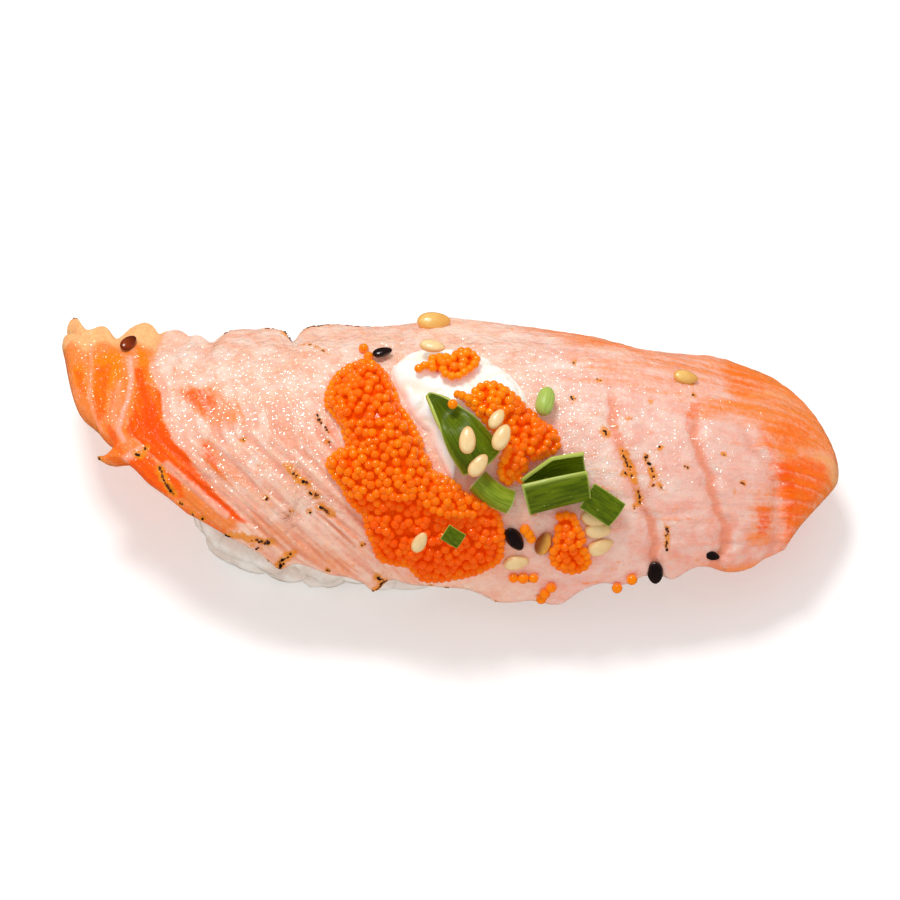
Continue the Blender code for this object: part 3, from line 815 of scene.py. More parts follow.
@dataclass(frozen=True)
class RoeFinish:
    """Flying-fish roe: glossy clear beads, from red orange to yellow orange."""

    name: str
    deep: Colour = tone(252, 84, 0)
    bright: Colour = tone(255, 150, 0)
    rim: Colour = tone(226, 58, 0)
    glow: Colour = tone(254, 110, 0)
    wetness: float = 1.0
    lumps: float = 0.0
    scale: float = 0.0012

    def build(self) -> bpy.types.Material:
        """Wires the finish and returns it."""
        shade = Shade(self.name)
        place = shade.place()
        colour = shade.mix(shade.attribute("tint"), self.deep, self.bright)
        colour = shade.mottled(place, 900.0, 0.3, colour, self.deep)
        # Painted shade: each bead is mixed towards the dark rim colour where its surface turns away from
        # the camera.
        turned = shade.node("LayerWeight", {"Blend": 0.5}).outputs["Facing"]
        colour = shade.mix(shade.ramp(turned, 0.45, 1.0, 0.0, 0.5), colour, self.rim)
        bumps = shade.group(WET_SKIN, Vector=place, Scale=900.0).outputs["Domes"]
        return shade.finish(
            Base_Color=colour,
            Roughness=0.3,
            Normal=shade.bump(bumps, self.lumps),
            Subsurface_Weight=0.15,
            Subsurface_Radius=(1.0, 0.4, 0.05),
            Subsurface_Scale=self.scale,
            Specular_IOR_Level=0.1 * self.wetness,
            Coat_Weight=self.wetness,
            Coat_IOR=1.7,
            Coat_Roughness=0.05,
            # Painted glow: beads and core give off a little orange light.
            Emission_Color=self.glow,
            Emission_Strength=0.14,
        )


@dataclass(frozen=True)
class CreamFinish:
    """Thick cream sauce."""

    white: Colour = tone(255, 252, 246)
    warm: Colour = tone(253, 236, 212)

    def build(self) -> bpy.types.Material:
        """Wires the finish and returns it."""
        shade = Shade("cream_sauce")
        place = shade.place()
        # Painted shade: the creases of the folds are mixed towards the warm colour.
        colour = shade.mix(shade.attribute("fold"), self.white, self.warm)
        colour = shade.mottled(place, 300.0, 0.25, colour, self.warm)
        return shade.finish(
            Base_Color=colour,
            Roughness=0.28,
            Subsurface_Weight=0.2,
            Subsurface_Radius=(1.0, 0.8, 0.6),
            Subsurface_Scale=0.001,
            Coat_Weight=0.3,
            Coat_Roughness=0.1,
            # Painted glow: the cream gives off a little white light.
            Emission_Color=self.white,
            Emission_Strength=0.1,
            Normal=shade.bump(shade.noise(place, 700.0, 2.0), 0.0001),
        )


@dataclass(frozen=True)
class ScallionFinish:
    """Cut scallion: glossy green with fine veins, pale where it is cut."""

    name: str
    green: Colour = tone(104, 124, 4)
    dark: Colour = tone(74, 94, 2)
    pale: Colour = tone(188, 200, 92)

    def build(self) -> bpy.types.Material:
        """Wires the finish and returns it."""
        shade = Shade(self.name)
        place = shade.place()
        vein_at = shade.stretched(shade.attribute("leaf", "Vector"), (1.2, 14.0, 1.0))
        vein = shade.noise(vein_at, 1.6, 2.0, 0.5)
        colour = shade.mix(shade.ramp(vein, 0.35, 0.65), self.green, self.dark)
        colour = shade.mix(shade.attribute("rim"), colour, self.pale)
        speck = shade.ramp(shade.noise(place, 2500.0, 1.0), 0.7, 0.76)
        colour = shade.mix(shade.math("MULTIPLY", speck, 0.35), colour, self.pale)
        return shade.finish(
            Base_Color=colour,
            Roughness=0.3,
            Subsurface_Weight=0.15,
            Subsurface_Radius=(0.5, 1.0, 0.2),
            Subsurface_Scale=0.0006,
            Specular_IOR_Level=0.2,
            Coat_Weight=0.08,
            Coat_Roughness=0.2,
            Normal=shade.bump(vein, 0.00012),
        )


@dataclass(frozen=True)
class SesameFinish:
    """A sesame seed's skin, toasted towards its tip and darker round its outline."""

    name: str
    skin: Colour = tone(255, 226, 168)
    toasted: Colour = tone(232, 162, 78)
    roughness: float = 0.3
    lengthwise: bool = False
    blend: float = 0.5

    def build(self) -> bpy.types.Material:
        """Wires the finish and returns it."""
        shade = Shade(self.name)
        place = shade.place()
        own = shade.attribute("own", "Vector")
        end = shade.node("SeparateXYZ", {0: own}).outputs[1 if self.lengthwise else 0]
        tip = shade.math("MULTIPLY", shade.ramp(end, -self.blend, self.blend), shade.attribute("tint"))
        spread = shade.stretched(own, (1.0, 1.72, 0.0))
        out = shade.node("VectorMath", {0: spread}, operation="LENGTH").outputs[1]
        # Darker round the seed's outline.
        edge = shade.ramp(out, 0.34, 0.5, 0.0, 0.6)
        colour = shade.mix(shade.math("MAXIMUM", tip, edge), self.skin, self.toasted)
        colour = shade.mottled(place, 1400.0, 0.2, colour, self.toasted)
        return shade.finish(
            Base_Color=colour,
            Roughness=self.roughness,
            Coat_Weight=0.4,
            Coat_Roughness=0.18,
            Normal=shade.bump(shade.noise(place, 2600.0, 2.0), 0.00006),
        )


# ---------------------------------------------------------------- the slice


def nearness(plan: Array, start: Array, end: Array) -> Array:
    """Distance of each place from the straight line between two points."""
    along = end - start
    share = np.clip(((plan - start) @ along) / max(along @ along, 1e-9), 0, 1)
    return np.hypot(*(plan - start - share[:, None] * along).T)


@dataclass
class Stroke:
    """A painted line on the slice: its course in (x in mm, angle), its width in mm and its strength."""

    course: Knots
    width: float
    strength: float = 1.0
    soft: float = 0.6

    def reach(self, plan: Array) -> Array:
        """How strongly it marks each place.

        Args:
            plan: Places on the unrolled slice, in mm.

        Returns:
            Values from 0 to its strength.
        """
        course = np.array(self.course, float) * TO_PLAN
        if len(course) == 1:
            course = np.repeat(course, 2, axis=0)
        nearest = np.min([nearness(plan, *ends) for ends in zip(course[:-1], course[1:])], axis=0)
        half = self.width / 2
        return self.strength * (1 - ease(half * (1 - self.soft), half * (1 + self.soft), nearest))


@dataclass
class Region:
    """A patch of the slice inside an outline of (x in mm, angle) corners, with a soft border in mm."""

    outline: Knots
    strength: float = 1.0
    soft: float = 0.5

    def reach(self, plan: Array) -> Array:
        """How strongly it marks each place.

        Args:
            plan: Places on the unrolled slice, in mm.

        Returns:
            Values from 0 to its strength.
        """
        corners = np.array(self.outline, float) * TO_PLAN
        sides = list(zip(corners, np.roll(corners, -1, axis=0)))
        nearest = np.min([nearness(plan, *side) for side in sides], axis=0)
        inside = np.zeros(len(plan), bool)
        for start, end in sides:
            if start[1] != end[1]:
                along = end - start
                between = (start[1] > plan[:, 1]) != (end[1] > plan[:, 1])
                crossing = start[0] + (plan[:, 1] - start[1]) * along[0] / along[1]
                inside ^= between & (plan[:, 0] < crossing)
        return self.strength * ease(-self.soft, self.soft, np.where(inside, nearest, -nearest))


def painted(strokes: Sequence[Stroke | Region], plan: Array) -> Array:
    """The strongest mark of several strokes or regions at each place."""
    return np.max([stroke.reach(plan) for stroke in strokes], axis=0)


@dataclass
class SalmonSlice:
    """The seared slice of salmon, draped over the rice."""

    columns: int = 310
    rows: int = 134
    thickness: Knots = ((-46, 2.6), (-35, 3.2), (-20, 4.0), (0, 4.2), (25, 4.0), (38, 3.5), (46, 3.0))
    rim_share: float = 0.28
    rim_round: float = 2.6
    front_edge: Knots = (
        (-46, -47), (-29, -47), (-25, -55), (-22.5, -60), (-20.8, -64), (-19.2, -69), (-17.6, -66),
        (-14, -70), (-10, -74), (-8.5, -78.5), (-7, -73), (-4.5, -75), (-1, -76.5), (2.3, -78.5),
        (5.8, -86), (9.3, -85), (12.7, -87), (15, -78.5), (17.4, -74.5), (19.7, -75), (22, -70),
        (25.4, -70), (27.8, -63.5), (30.1, -65), (32.4, -66), (34.7, -62), (37, -55), (39.3, -49),
        (46, -46),
    )  # fmt: skip
    back_edge: Knots = (
        (-46, 70), (-44.6, 67), (-42.6, 50), (-40.5, 54), (-38.8, 46), (-36.5, 66), (-34, 57), (-32, 60),
        (-29, 51), (-27.2, 46), (-26, 60), (-21, 63), (-19.2, 52), (-18, 44), (-17, 62), (-10, 68),
        (-4, 80), (4, 88), (20, 88), (32, 84), (38, 76), (46, 66),
    )  # fmt: skip
    left_end: Knots = (
        (0, -29), (0.08, -33.4), (0.16, -36.6), (0.2, -40.2), (0.24, -38.5), (0.36, -41.0),
        (0.5, -43.6), (0.64, -44.8), (0.78, -45.3), (0.86, -44.2), (0.94, -45.2), (1, -44.4),
    )  # fmt: skip
    right_end: Knots = (
        (0, 37.8), (0.12, 40.3), (0.28, 42.7), (0.45, 44.2), (0.6, 43.8), (0.75, 41.5), (0.88, 38.7),
        (1, 35.6),
    )  # fmt: skip
    seams: Sequence[Knots] = (
        ((-75, 24.3), (-52, 22.8), (-40, 22), (-29, 20.5), (-18, 19.2), (-4, 18.2), (10, 17.6)),
        ((-75, 28.6), (-58, 29.8), (-41, 30.2), (-24, 28.5), (-6, 27), (6, 26.6)),
        ((-70, 34.8), (-52, 35.8), (-33, 36.2), (-11, 34.8), (4, 31.8)),
    )
    seam_depth: float = 0.55
    seam_width: float = 0.9
    creases: Sequence[float] = (-38.5, -34.5, -30.5, -26.8, -18.0)
    crease_depth: float = 0.45
    swelling: Sequence[float] = (-2.0, 60.0, 0.9, 5.0, 16.0)
    back_thinned: float = 1.7
    fold_sizes: Sequence[float] = (1.3, 0.7)
    fold_depths: Sequence[float] = (0.14, 0.56)
    unevenness: float = 0.1
    least: float = 0.5
    crust_step: float = 0.1
    crust_skip: float = 0.42
    crust_shake: Sequence[float] = (0.14, 0.12)
    crust_clear: float = 0.03
    back_hollow: Knots = (
        (-46, 0), (-30, 0), (-24, 0.4), (-20, 0.3), (-14, 0), (-7, 0.5), (-4, 0.6), (0, 0.1), (12, 0.2),
        (18, 0.5), (21.5, 0.9), (24, 0.6), (27, 0.1), (30, -0.4), (33, -0.2), (37, 0.2), (46, 0.4),
    )  # fmt: skip
    bow: Knots = (
        (-70, 20.0), (-42, 11.8), (-32, 8.6), (-25, 6.6), (-18, 4.4), (-14, 3.2), (-4, 2.0), (6, 1.0),
        (18, 0.0), (45, -2.5),
    )  # fmt: skip
    bow_share: Knots = ((-46, 1.0), (-32, 1.0), (-20, 1.0), (-10, 1.05))
    raw_parts: Sequence[Stroke | Region] = (
        Region([
            (-35.8, 20), (-34.2, 21), (-34.0, 12), (-32.0, 7), (-31.8, -6), (-31.0, -10),
            (-30.0, -16), (-29.0, -18), (-28.5, -24), (-27.5, -28), (-26.2, -34), (-24.8, -38),
            (-22.0, -46), (-23.8, -45), (-26.2, -40), (-28.2, -34), (-29.8, -28), (-31.8, -24),
            (-33.5, -20), (-34.2, -16), (-35.5, -13), (-35.8, -10), (-35.2, -4), (-35.0, 2),
            (-35.0, 11),
        ]),
        Region([
            (-35.8, -22), (-33.5, -21), (-31.8, -25), (-29.8, -30), (-29.2, -38), (-30.8, -38),
            (-33.8, -33), (-36.2, -26),
        ], 0.85),
        Region([(-40.6, 20), (-38.2, 22), (-38.4, 4), (-38.4, -6), (-39.4, -12), (-40.3, -4)], 0.62),
        Region([(-43.2, 16), (-41.9, 16), (-41.2, 2), (-42.2, 4)], 0.6),
        Region([(-38.5, -10), (-37.5, -9), (-36.2, -20), (-35.8, -24), (-37.6, -20)], 0.7, 0.6),
        Region([
            (-30.0, 7), (-28.8, 9), (-27.0, 8), (-25.8, 2), (-26.0, -6), (-27.3, -4), (-29.0, 1),
        ], 0.62, 0.8),
        Region([
            (-27.5, -15), (-26.8, -15), (-25.6, -22), (-24.6, -29), (-26.0, -26), (-27.3, -20),
        ], 0.68, 0.4),
        Stroke([(-37.5, 8), (-38.0, -4)], 0.5, 0.5),
        Stroke([(-37.0, -26), (-32.5, -38), (-28.8, -46), (-25.0, -53)], 2.4, 0.55, 0.9),
        Region([
            (35.3, -10), (37.8, -5), (38.7, -15), (38.3, -30), (37.8, -43), (37.0, -40), (36.7, -29),
            (36.0, -18),
        ], 0.8, 1.3),
        Region([
            (35.2, -10), (37.2, -4), (39.8, 3), (41.5, 5), (42.5, 0), (41.8, -14), (40.5, -28), (39, -37),
            (37.8, -48), (36.8, -52), (36.8, -36), (36, -22), (35.5, -16),
        ], 0.58, 1.5),
        Region([
            (34.2, 8), (38.5, 27), (39.8, 26), (40.8, 20), (39.8, 8), (38.2, -2), (36, -5), (35, 0),
        ], 0.42, 2.0),
        Region([
            (29.8, 50), (33.5, 56), (36.2, 45), (37, 38), (35.8, 27), (33, 20), (31.2, 22), (30, 30),
        ], 0.4, 3.2),
        Region([(33.4, -30), (35.3, -30), (35.7, -38), (35.0, -44), (33.8, -46)], 0.55, 0.8),
        Stroke([(32.0, 34), (34.5, 32)], 1.8, 0.5),
        Stroke([(26.0, -2), (26.3, 5), (27.0, 12)], 1.0, 0.42),
        Stroke([(16.0, 41), (20.5, 39)], 0.9, 0.42),
        Stroke([(34.0, 5), (35.0, -2), (35.4, -9)], 0.9, 0.45),
    )  # fmt: skip
    golden_parts: Sequence[Stroke | Region] = (
        Region([
            (-41.0, 24), (-39.0, 32), (-37.2, 26), (-37.0, 14), (-38.0, 6), (-38.4, -4), (-39.4, -8),
            (-40.4, 4),
        ], 0.85, 0.9),
        Region([(-43.8, 18), (-42.0, 20), (-41.4, 12), (-41.6, 4), (-43.0, 8)], 0.8, 0.8),
        Region([(-36.0, 34), (-34.8, 34), (-33.9, 26), (-34.2, 14), (-35.4, 12)], 0.7, 0.8),
        Stroke([(-37.2, -8), (-35.6, -15), (-33.8, -19)], 1.2, 0.4),
    )  # fmt: skip
    peach_parts: Sequence[Stroke | Region] = (
        Region([
            (-46, 80), (-46, -30), (-44.0, -6), (-37.2, -40), (-30.8, -60), (-26.0, -60),
            (-22.8, -44), (-27.0, -28), (-28.5, -19), (-30.0, -16), (-31.2, -8), (-32.0, 7),
            (-33.6, 19), (-33.2, 40), (-34.5, 80),
        ], 0.85, 0.9),
        Region([
            (-30.6, 8), (-28.8, 11), (-26.4, 9), (-24.6, 4), (-23.2, -2), (-23.0, -7), (-24.4, -9),
            (-26.4, -9), (-28.4, -3),
        ], 0.62, 0.9),
        Region([
            (-28.0, -14), (-26.4, -13), (-24.0, -26), (-22.0, -34), (-25.4, -29), (-27.6, -21),
        ], 0.6, 0.8),
        Stroke([(-22.0, -46), (-17.5, -53), (-12.0, -62)], 3.0, 0.5, 0.9),
        Region([
            (33.6, 8), (30.8, 9), (27.8, 5), (26.2, 6), (27.4, 15), (30.8, 21), (29.6, 32),
            (29.6, 50), (30.0, 90), (46, 90), (46, -60), (36.8, -54), (36.6, -36), (36.0, -22),
            (35.4, -14), (35.0, -4),
        ], 0.8, 2.6),
        Region([
            (7.2, 90), (7.0, 50), (13.5, 36), (18.8, 32), (23.2, 30), (30.5, 24), (33.0, 90),
        ], 0.6, 3.4),
        Region([(11.0, 50), (12.0, 22), (17.0, 8), (26.0, 8), (31.0, 22), (31.0, 60)], 0.4, 3.6),
        Region([
            (26.0, -80), (27.8, -57), (31.0, -57), (34.2, -56), (37.8, -50), (46.0, -50), (46.0, -80),
        ], 0.55, 1.2),
        Region([(33.0, -26), (36.0, -26), (36.4, -44), (35.4, -52), (32.6, -50)], 0.5, 1.0),
        Stroke([(-5, 66), (10, 64), (30, 66)], 3.0, 0.35, 0.9),
        Stroke([(0, -84), (6, -93), (12, -92), (20, -78)], 3.0, 0.4, 0.9),
    )  # fmt: skip
    fringe_parts: Sequence[Stroke | Region] = (
        Region([(-46, 80), (-46, 30), (-43.8, 34), (-42.0, 26), (-40.6, 34), (-39.0, 36), (-37.4, 30),
                (-36.6, 38), (-35.2, 36), (-33.4, 30), (-33.0, 80)], 0.8, 1.0),
        Region([(33.0, 24), (36.0, 31), (38.4, 34), (37.6, 38), (34.0, 33)], 0.5, 0.6),
        Region([(39.0, 0), (41.0, 9), (43.5, 12), (45.0, 4), (43.0, -6)], 0.6, 0.9),
    )  # fmt: skip
    deep_parts: Sequence[Stroke | Region] = (
        Region([
            (-34.2, 4), (-32.4, 2), (-32.2, -8), (-31.0, -16), (-32.6, -18), (-34.2, -8),
        ], 0.62, 0.9),
        Stroke([(-29.2, -26), (-27.4, -32), (-25.6, -37)], 1.2, 0.5),
        Stroke([(36.2, -13), (37.4, -20), (37.6, -30)], 1.6, 0.3, 0.9),
        Stroke([(34.3, -36), (34.3, -42)], 1.0, 0.5),
    )
    fat_lines: Sequence[Stroke | Region] = (
        Stroke([(-41.5, 34), (-40.9, 16), (-40.8, 1), (-39.9, -8), (-38.9, -14)], 0.7, 0.5, 0.9),
        Stroke([
            (-36.4, 27), (-35.7, 13), (-35.9, 2), (-36.5, -6), (-36.7, -12), (-36.0, -16),
        ], 0.8, 0.8, 0.8),
        Region([
            (-37.6, 14), (-36.6, 14), (-36.2, 2), (-36.9, -12), (-38.0, -8), (-38.1, 4),
        ], 0.42, 0.7),
        Stroke([(-33.4, 21), (-31.7, 8), (-31.2, -4)], 1.1, 0.8),
        Stroke([
            (-31.2, -4), (-30.2, -14), (-28.4, -20), (-27.0, -28), (-25.2, -34), (-22.4, -41),
        ], 0.9, 0.75),
        Stroke([(-31.2, -24.5), (-29.0, -31), (-27.0, -37), (-24.8, -43)], 1.1, 0.75),
        Stroke([(-35.8, -24), (-34.9, -21), (-33.9, -18.5)], 1.0, 0.9),
        Stroke([(-24.2, -20), (-21.2, -28), (-19.2, -34)], 0.9, 0.5),
        Stroke([(33.6, 22), (37.0, 30), (39.0, 34)], 1.4, 0.45, 0.95),
        Stroke([(38.6, 0), (40.6, 8), (42.4, 12)], 1.5, 0.5, 0.95),
        Stroke([(36.0, -22), (36.5, -32), (36.6, -44)], 0.8, 0.35, 0.9),
    )
    char_marks: Sequence[Stroke] = (
        Stroke([(-18.2, -24), (-17.0, -28), (-16.0, -30)], 0.62),
        Stroke([(-15.8, -33), (-14.8, -34)], 0.5, 0.85),
        Stroke([(-14.5, -38), (-13.2, -41)], 0.6),
        Stroke([(-33.5, -18), (-33.8, -20)], 0.5),
        Stroke([(-32.0, -26), (-31.5, -31), (-31.0, -34), (-30.5, -36)], 0.55),
        Stroke([(-24.8, -53), (-23.8, -51), (-22.2, -52), (-20.2, -53)], 0.7),
        Stroke([(-22.3, -55), (-21.3, -56)], 0.5, 0.6),
        Stroke([(-19.2, -64), (-18.8, -60), (-17.8, -57)], 0.75),
        Stroke([(-8.2, -66), (-7.5, -68), (-8.0, -71), (-8.6, -74)], 0.7),
        Stroke([(-26.4, 50), (-25.4, 53)], 0.9),
        Stroke([(-21.5, 57), (-20.0, 54), (-18.6, 42)], 1.0),
        Stroke([(-17.0, 50), (-15.4, 55), (-12.2, 59), (-8.0, 62), (-3.5, 62)], 0.8, 0.9),
        Stroke([(-16.5, 32), (-15.5, 30), (-14.0, 25)], 0.4, 0.62),
        Stroke([(19.0, -15), (19.4, -19), (20.0, -22)], 0.62),
        Stroke([(19.2, -24), (20.0, -24), (20.3, -26)], 0.55),
        Stroke([(17.0, -8), (17.3, -9)], 0.75, 0.95),
        Stroke([(-15.0, -4), (-14.8, -6), (-14.0, -9), (-13.5, -11)], 0.5, 0.6),
        Stroke([(22.0, -21), (22.3, -24)], 0.6, 0.95),
        Stroke([(22.8, -26), (23.5, -29)], 0.5, 0.65),
        Stroke([(21.3, -17), (22.0, -20)], 0.5, 0.65),
        Stroke([(20.8, -30), (21.0, -35)], 0.45, 0.8),
        Stroke([(24.0, -43), (24.2, -52)], 0.45, 0.75),
        Stroke([(-44.3, 60), (-44.1, 64)], 0.7),
        Stroke([(-43.4, 66), (-43.1, 62)], 0.7),
        Stroke([(-34.6, -21), (-34.0, -22)], 0.5),
        Stroke([(-39.9, -26.5), (-39.2, -26)], 0.5),
    )
    char_dots: Knots = (
        (-29.8, -40), (-28.5, -44), (-20.5, -62), (-13.8, -64), (-2.2, -71), (-0.5, -73), (-20.5, -36),
        (-17.8, -40), (-15.8, -40), (-9.8, -52), (-13.8, -14), (-23.0, -14), (19.5, -2), (20.4, -36),
        (21.5, -16), (25.8, -18), (29.8, -10), (32.0, -21), (25.5, 22), (26.5, 22), (26.8, 16),
        (5.2, -80), (10.0, -80), (9.0, -68), (13.8, 4), (13.8, 22), (10.2, -76), (22.2, -27),
        (18.2, -34), (16.5, 14), (21.8, 7), (-27.5, -46), (22.9, -12), (9.5, -40),
    )  # fmt: skip

    def beside(self, seam: Knots, x: Array, angle: Array) -> Array:
        """How far right of a seam a place lies, in mm, along the seam's wavering course."""
        waver = 0.22 * np.sin(0.24 * angle) + 0.12 * np.sin(0.61 * angle + 1.0)
        return x - smooth(seam, angle) - waver

    def lift(self, x: Array, angle: Array) -> Array:
        """Thickness of the flesh.

        Args:
            x: Places along the slice, in mm.
            angle: Degrees round the ridge.

        Returns:
            Thickness in mm, with the seams, creases and wrinkles sunk in it.
        """
        thick = smooth(self.thickness, x)
        for seam in self.seams:
            offset = self.beside(seam, x, angle) / self.seam_width
            shown = np.clip((seam[-1][0] + 6 - angle) / 12, 0, 1)
            thick = thick - shown * self.seam_depth * np.exp(-(offset**2))
            thick = thick + shown * 0.45 * self.seam_depth * np.exp(-((offset - 1.5) ** 2))
        for crease in self.creases:
            offset = (x - crease + 0.05 * (45 - angle)) / 0.8
            fade = np.clip((angle + 5) / 45, 0, 1)
            thick = thick - fade * self.crease_depth * np.exp(-(offset**2))
        middle, turn, height, wide, round_it = self.swelling
        away = ((x - middle) / wide) ** 2 + ((angle - turn) / round_it) ** 2
        thin = self.back_thinned * ease(56, 84, angle) * ease(-16, -6, x) * (1 - ease(26, 33, x))
        thin = thin + ease(38, 58, angle) * smooth(self.back_hollow, x)
        return thick + height * np.exp(-away) - thin

    def grain(self, plan: Array) -> tuple[Array, Array]:
        """Directions of the flesh: bowed lines on the left, lengthwise ones on the right.

        Args:
            plan: Places on the unrolled slice, in mm.

        Returns:
            Places across and along the grain, in mm.
        """
        x, slide = plan.T
        angle = np.degrees(slide / UNROLL_MM)
        bowed = x - smooth(self.bow_share, x) * smooth(self.bow, angle)
        middle = ease(-9, 1, x)
        across = bowed * (1 - middle) + (slide - 0.12 * x) * middle
        return across, slide * (1 - middle) + x * middle

    def inward(self, x: Array, angle: Array) -> Array:
        """How far in from the rim a place lies.

        Args:
            x: Places along the slice, in mm.
            angle: Degrees round the ridge.

        Returns:
            0 on the rim and 1 past its rounding.
        """
        front, back = smooth(self.front_edge, x), smooth(self.back_edge, x)
        across = np.clip((angle - front) / (back - front), 0, 1)
        left, right = smooth(self.left_end, across), smooth(self.right_end, across)
        side = np.minimum(angle - front, back - angle) * TO_PLAN[1]
        return np.clip(np.minimum(side, np.minimum(x - left, right - x)) / self.rim_round, 0, 1)

    def skin(self, x: Array, angle: Array) -> Array:
        """Lift of the slice's top with its rounded rim, in mm."""
        edge = self.inward(x, angle)
        rim = self.rim_share + (1 - self.rim_share) * np.sqrt(1 - (1 - edge) ** 2)
        return self.lift(x, angle) * rim

    def build(self) -> None:
        """Builds and dresses the slice."""
        piece = sheet_grid("salmon", self.columns, self.rows)
        share = corners_of(piece)[:, :2] + 0.5
        even = 0.5 - 0.5 * np.cos(math.pi * np.clip(share, 0, 1))
        along = 0.75 * share[:, 0] + 0.25 * even[:, 0]
        across = 0.7 * share[:, 1] + 0.3 * even[:, 1]
        left, right = smooth(self.left_end, across), smooth(self.right_end, across)
        x = left + (right - left) * along
        front, back = smooth(self.front_edge, x), smooth(self.back_edge, x)
        angle = front + (back - front) * across
        plan = np.stack([x, np.radians(angle) * UNROLL_MM], axis=-1)
        edge = self.inward(x, angle)
        grain_across, grain_along = self.grain(plan)
        thick = self.skin(x, angle)
        flat = np.stack([plan[:, 0], plan[:, 1], 0 * x], axis=-1)
        fan = np.stack([grain_across, 0.2 * grain_along, 0 * x], axis=-1)
        folds = (1 - ease(-10, -2, x)) * ease(-33, -26, x) * (1 - ease(-16, 14, angle))
        coarse, fine = self.fold_sizes
        wrinkles = 0.25 - np.abs(ripple(fan, coarse, 3.0)) - 0.35 * np.abs(ripple(fan, fine, 7.0))
        everywhere, folded = self.fold_depths
        thick = thick + (everywhere + folded * folds) * wrinkles * edge
        thick = thick + self.unevenness * ripple(flat, 1.0, 5.0) * edge
        thick = np.maximum(thick, self.least)
        base = DRAPE.underside(x * MM, angle)
        top = DRAPE.place(x * MM, angle, thick * MM)
        move_corners(piece, base)
        apply_modifier(piece, "SOLIDIFY", thickness=4 * MM, offset=1.0)
        count = len(base)
        corners = corners_of(piece)
        outer = 0 if np.abs(corners[:count] - base).max() > 1e-5 else count
        corners[outer : outer + count] = top
        move_corners(piece, corners)
        piece.data.shade_smooth()
        valley = folds * ease(-0.02, -0.3, wrinkles)
        self.paint(piece, plan, angle, (grain_across, grain_along), valley, outer)
        settle(piece, SalmonFinish().build(), Slot.SALMON, ["salmon_slice"])

    def paint(
        self,
        piece: bpy.types.Object,
        plan: Array,
        angle: Array,
        grain: tuple[Array, Array],
        valley: Array,
        outer: int,
    ) -> None:
        """Stores where the flesh is raw, fat, seamed, wet and browned, and where painted shade and
        painted highlights go.

        Args:
            piece: The slice.
            plan: Places of one skin on the unrolled slice, in mm.
            angle: Their degrees round the ridge.
            grain: Places across and along the grain.
            valley: How deep between two wrinkles they lie, from 0 to 1.
            outer: Number of the outer skin's first vertex.
        """
        x = plan[:, 0]
        flat = np.stack([x, plan[:, 1], 0 * x], -1)
        tail = 1 - ease(-38, -30, x)
        head = ease(16, 32, x)
        seam, lip_highlight = np.zeros(len(x)), np.zeros(len(x))
        for knots, strength in zip(self.seams, (1.0, 1.0, 0.35)):
            offset = self.beside(knots, x, angle)
            shown = strength * np.clip((knots[-1][0] + 6 - angle) / 12, 0, 1)
            seam = np.maximum(seam, shown * (1 - ease(0.35, 0.62, np.abs(offset))))
            # Painted highlight: a thin broken line just right of each seam, which adds to the glints and
            # the milky colour.
            lip_highlight = np.maximum(lip_highlight, shown * (1 - ease(0.05, 0.35, np.abs(offset - 1.0))))
        dots = [Stroke([dot], 0.8, 0.95) for dot in self.char_dots]
        halos = [Stroke(mark.course, mark.width + 0.4, mark.strength, 0.95) for mark in self.char_marks]
        low = ease(-20, -60, angle)
        raw = painted(self.raw_parts, plan)
        lip_highlight = lip_highlight * np.clip(0.5 + 1.2 * ripple(flat, 2.0, 6.0), 0, 1)
        strands = 0.3 * (1 - ease(-12, -2, x)) * (1 - ease(-14, 14, angle))
        # The wet field sets the coat's gloss and also where the painted glints go.
        wet = (1 - 0.5 * ease(-2, 22, x)) * (1 - 0.4 * tail) * (0.5 + 0.5 * ease(-60, -20, angle))
        wet = wet * (1 - ease(30, 50, angle)) * (1 - 0.75 * raw) + lip_highlight
        fields = {
            "raw": raw,
            "head": ease(2, 16, x),
            "deep": painted(self.deep_parts, plan),
            "golden": painted(self.golden_parts, plan),
            "peach": painted(self.peach_parts, plan),
            "fringe": painted(self.fringe_parts, plan),
            "fat": painted(self.fat_lines, plan),
            "seam": 0.82 * seam,
            "char": painted([*halos, *dots], plan),
            # Painted shade: more blush low on the front, most at the head end; the 0.42 base is the
            # flesh's own pink mottling.
            "blush": np.clip(0.42 + 0.06 * low + 0.6 * low * head, 0, 0.9),
            # Painted shade: less milky white low on the front and in the wrinkle valleys; painted
            # highlight: the lip line adds to it.
            "milky": (1 - tail) * (0.7 - 0.3 * low) * (1 - 0.6 * head) * (1 - valley) + 0.5 * lip_highlight,
            # Painted shade in the wrinkle valleys.
            "fold": 0.42 * valley,
            "thread": strands + 0.1 + 0.15 * head,
            "wet": wet,
        }
        for name, values in fields.items():
            both = np.stack([values, values])
            if name in ("char", "wet"):
                both[1 if outer == 0 else 0] = 0
            write_values(piece, name, both.ravel())
        vectors = np.stack([*grain, 0 * x], axis=-1)
        write_values(piece, "grain", np.tile(vectors, (2, 1)))

    def specks(self, draw: np.random.Generator) -> list[tuple[float, float, float]]:
        """Scatters specks along the seared marks.

        Args:
            draw: Source of the random draws.

        Returns:
            Rows of x, place round the slice and size, in mm.
        """
        spots = []
        for mark in self.char_marks:
            course = np.array(mark.course, float) * TO_PLAN
            for start, end in zip(course[:-1], course[1:]):
                length = float(np.hypot(*(end - start)))
                for share in np.arange(0, 1, self.crust_step / max(length, self.crust_step)):
                    if draw.random() < self.crust_skip + 0.5 * (1 - mark.strength):
                        continue
                    middle = start + (end - start) * share
                    spread = draw.normal(0, self.crust_shake[0] * mark.width, 2)
                    size = draw.uniform(0.18, 0.44) * (0.6 + 0.5 * mark.width)
                    spots.append((*(middle + spread), size))
        for x, angle in self.char_dots:
            for _ in range(draw.integers(1, 4)):
                middle = np.array((x, angle)) * TO_PLAN + draw.normal(0, self.crust_shake[1], 2)
                spots.append((*middle, draw.uniform(0.14, 0.3)))
        return spots

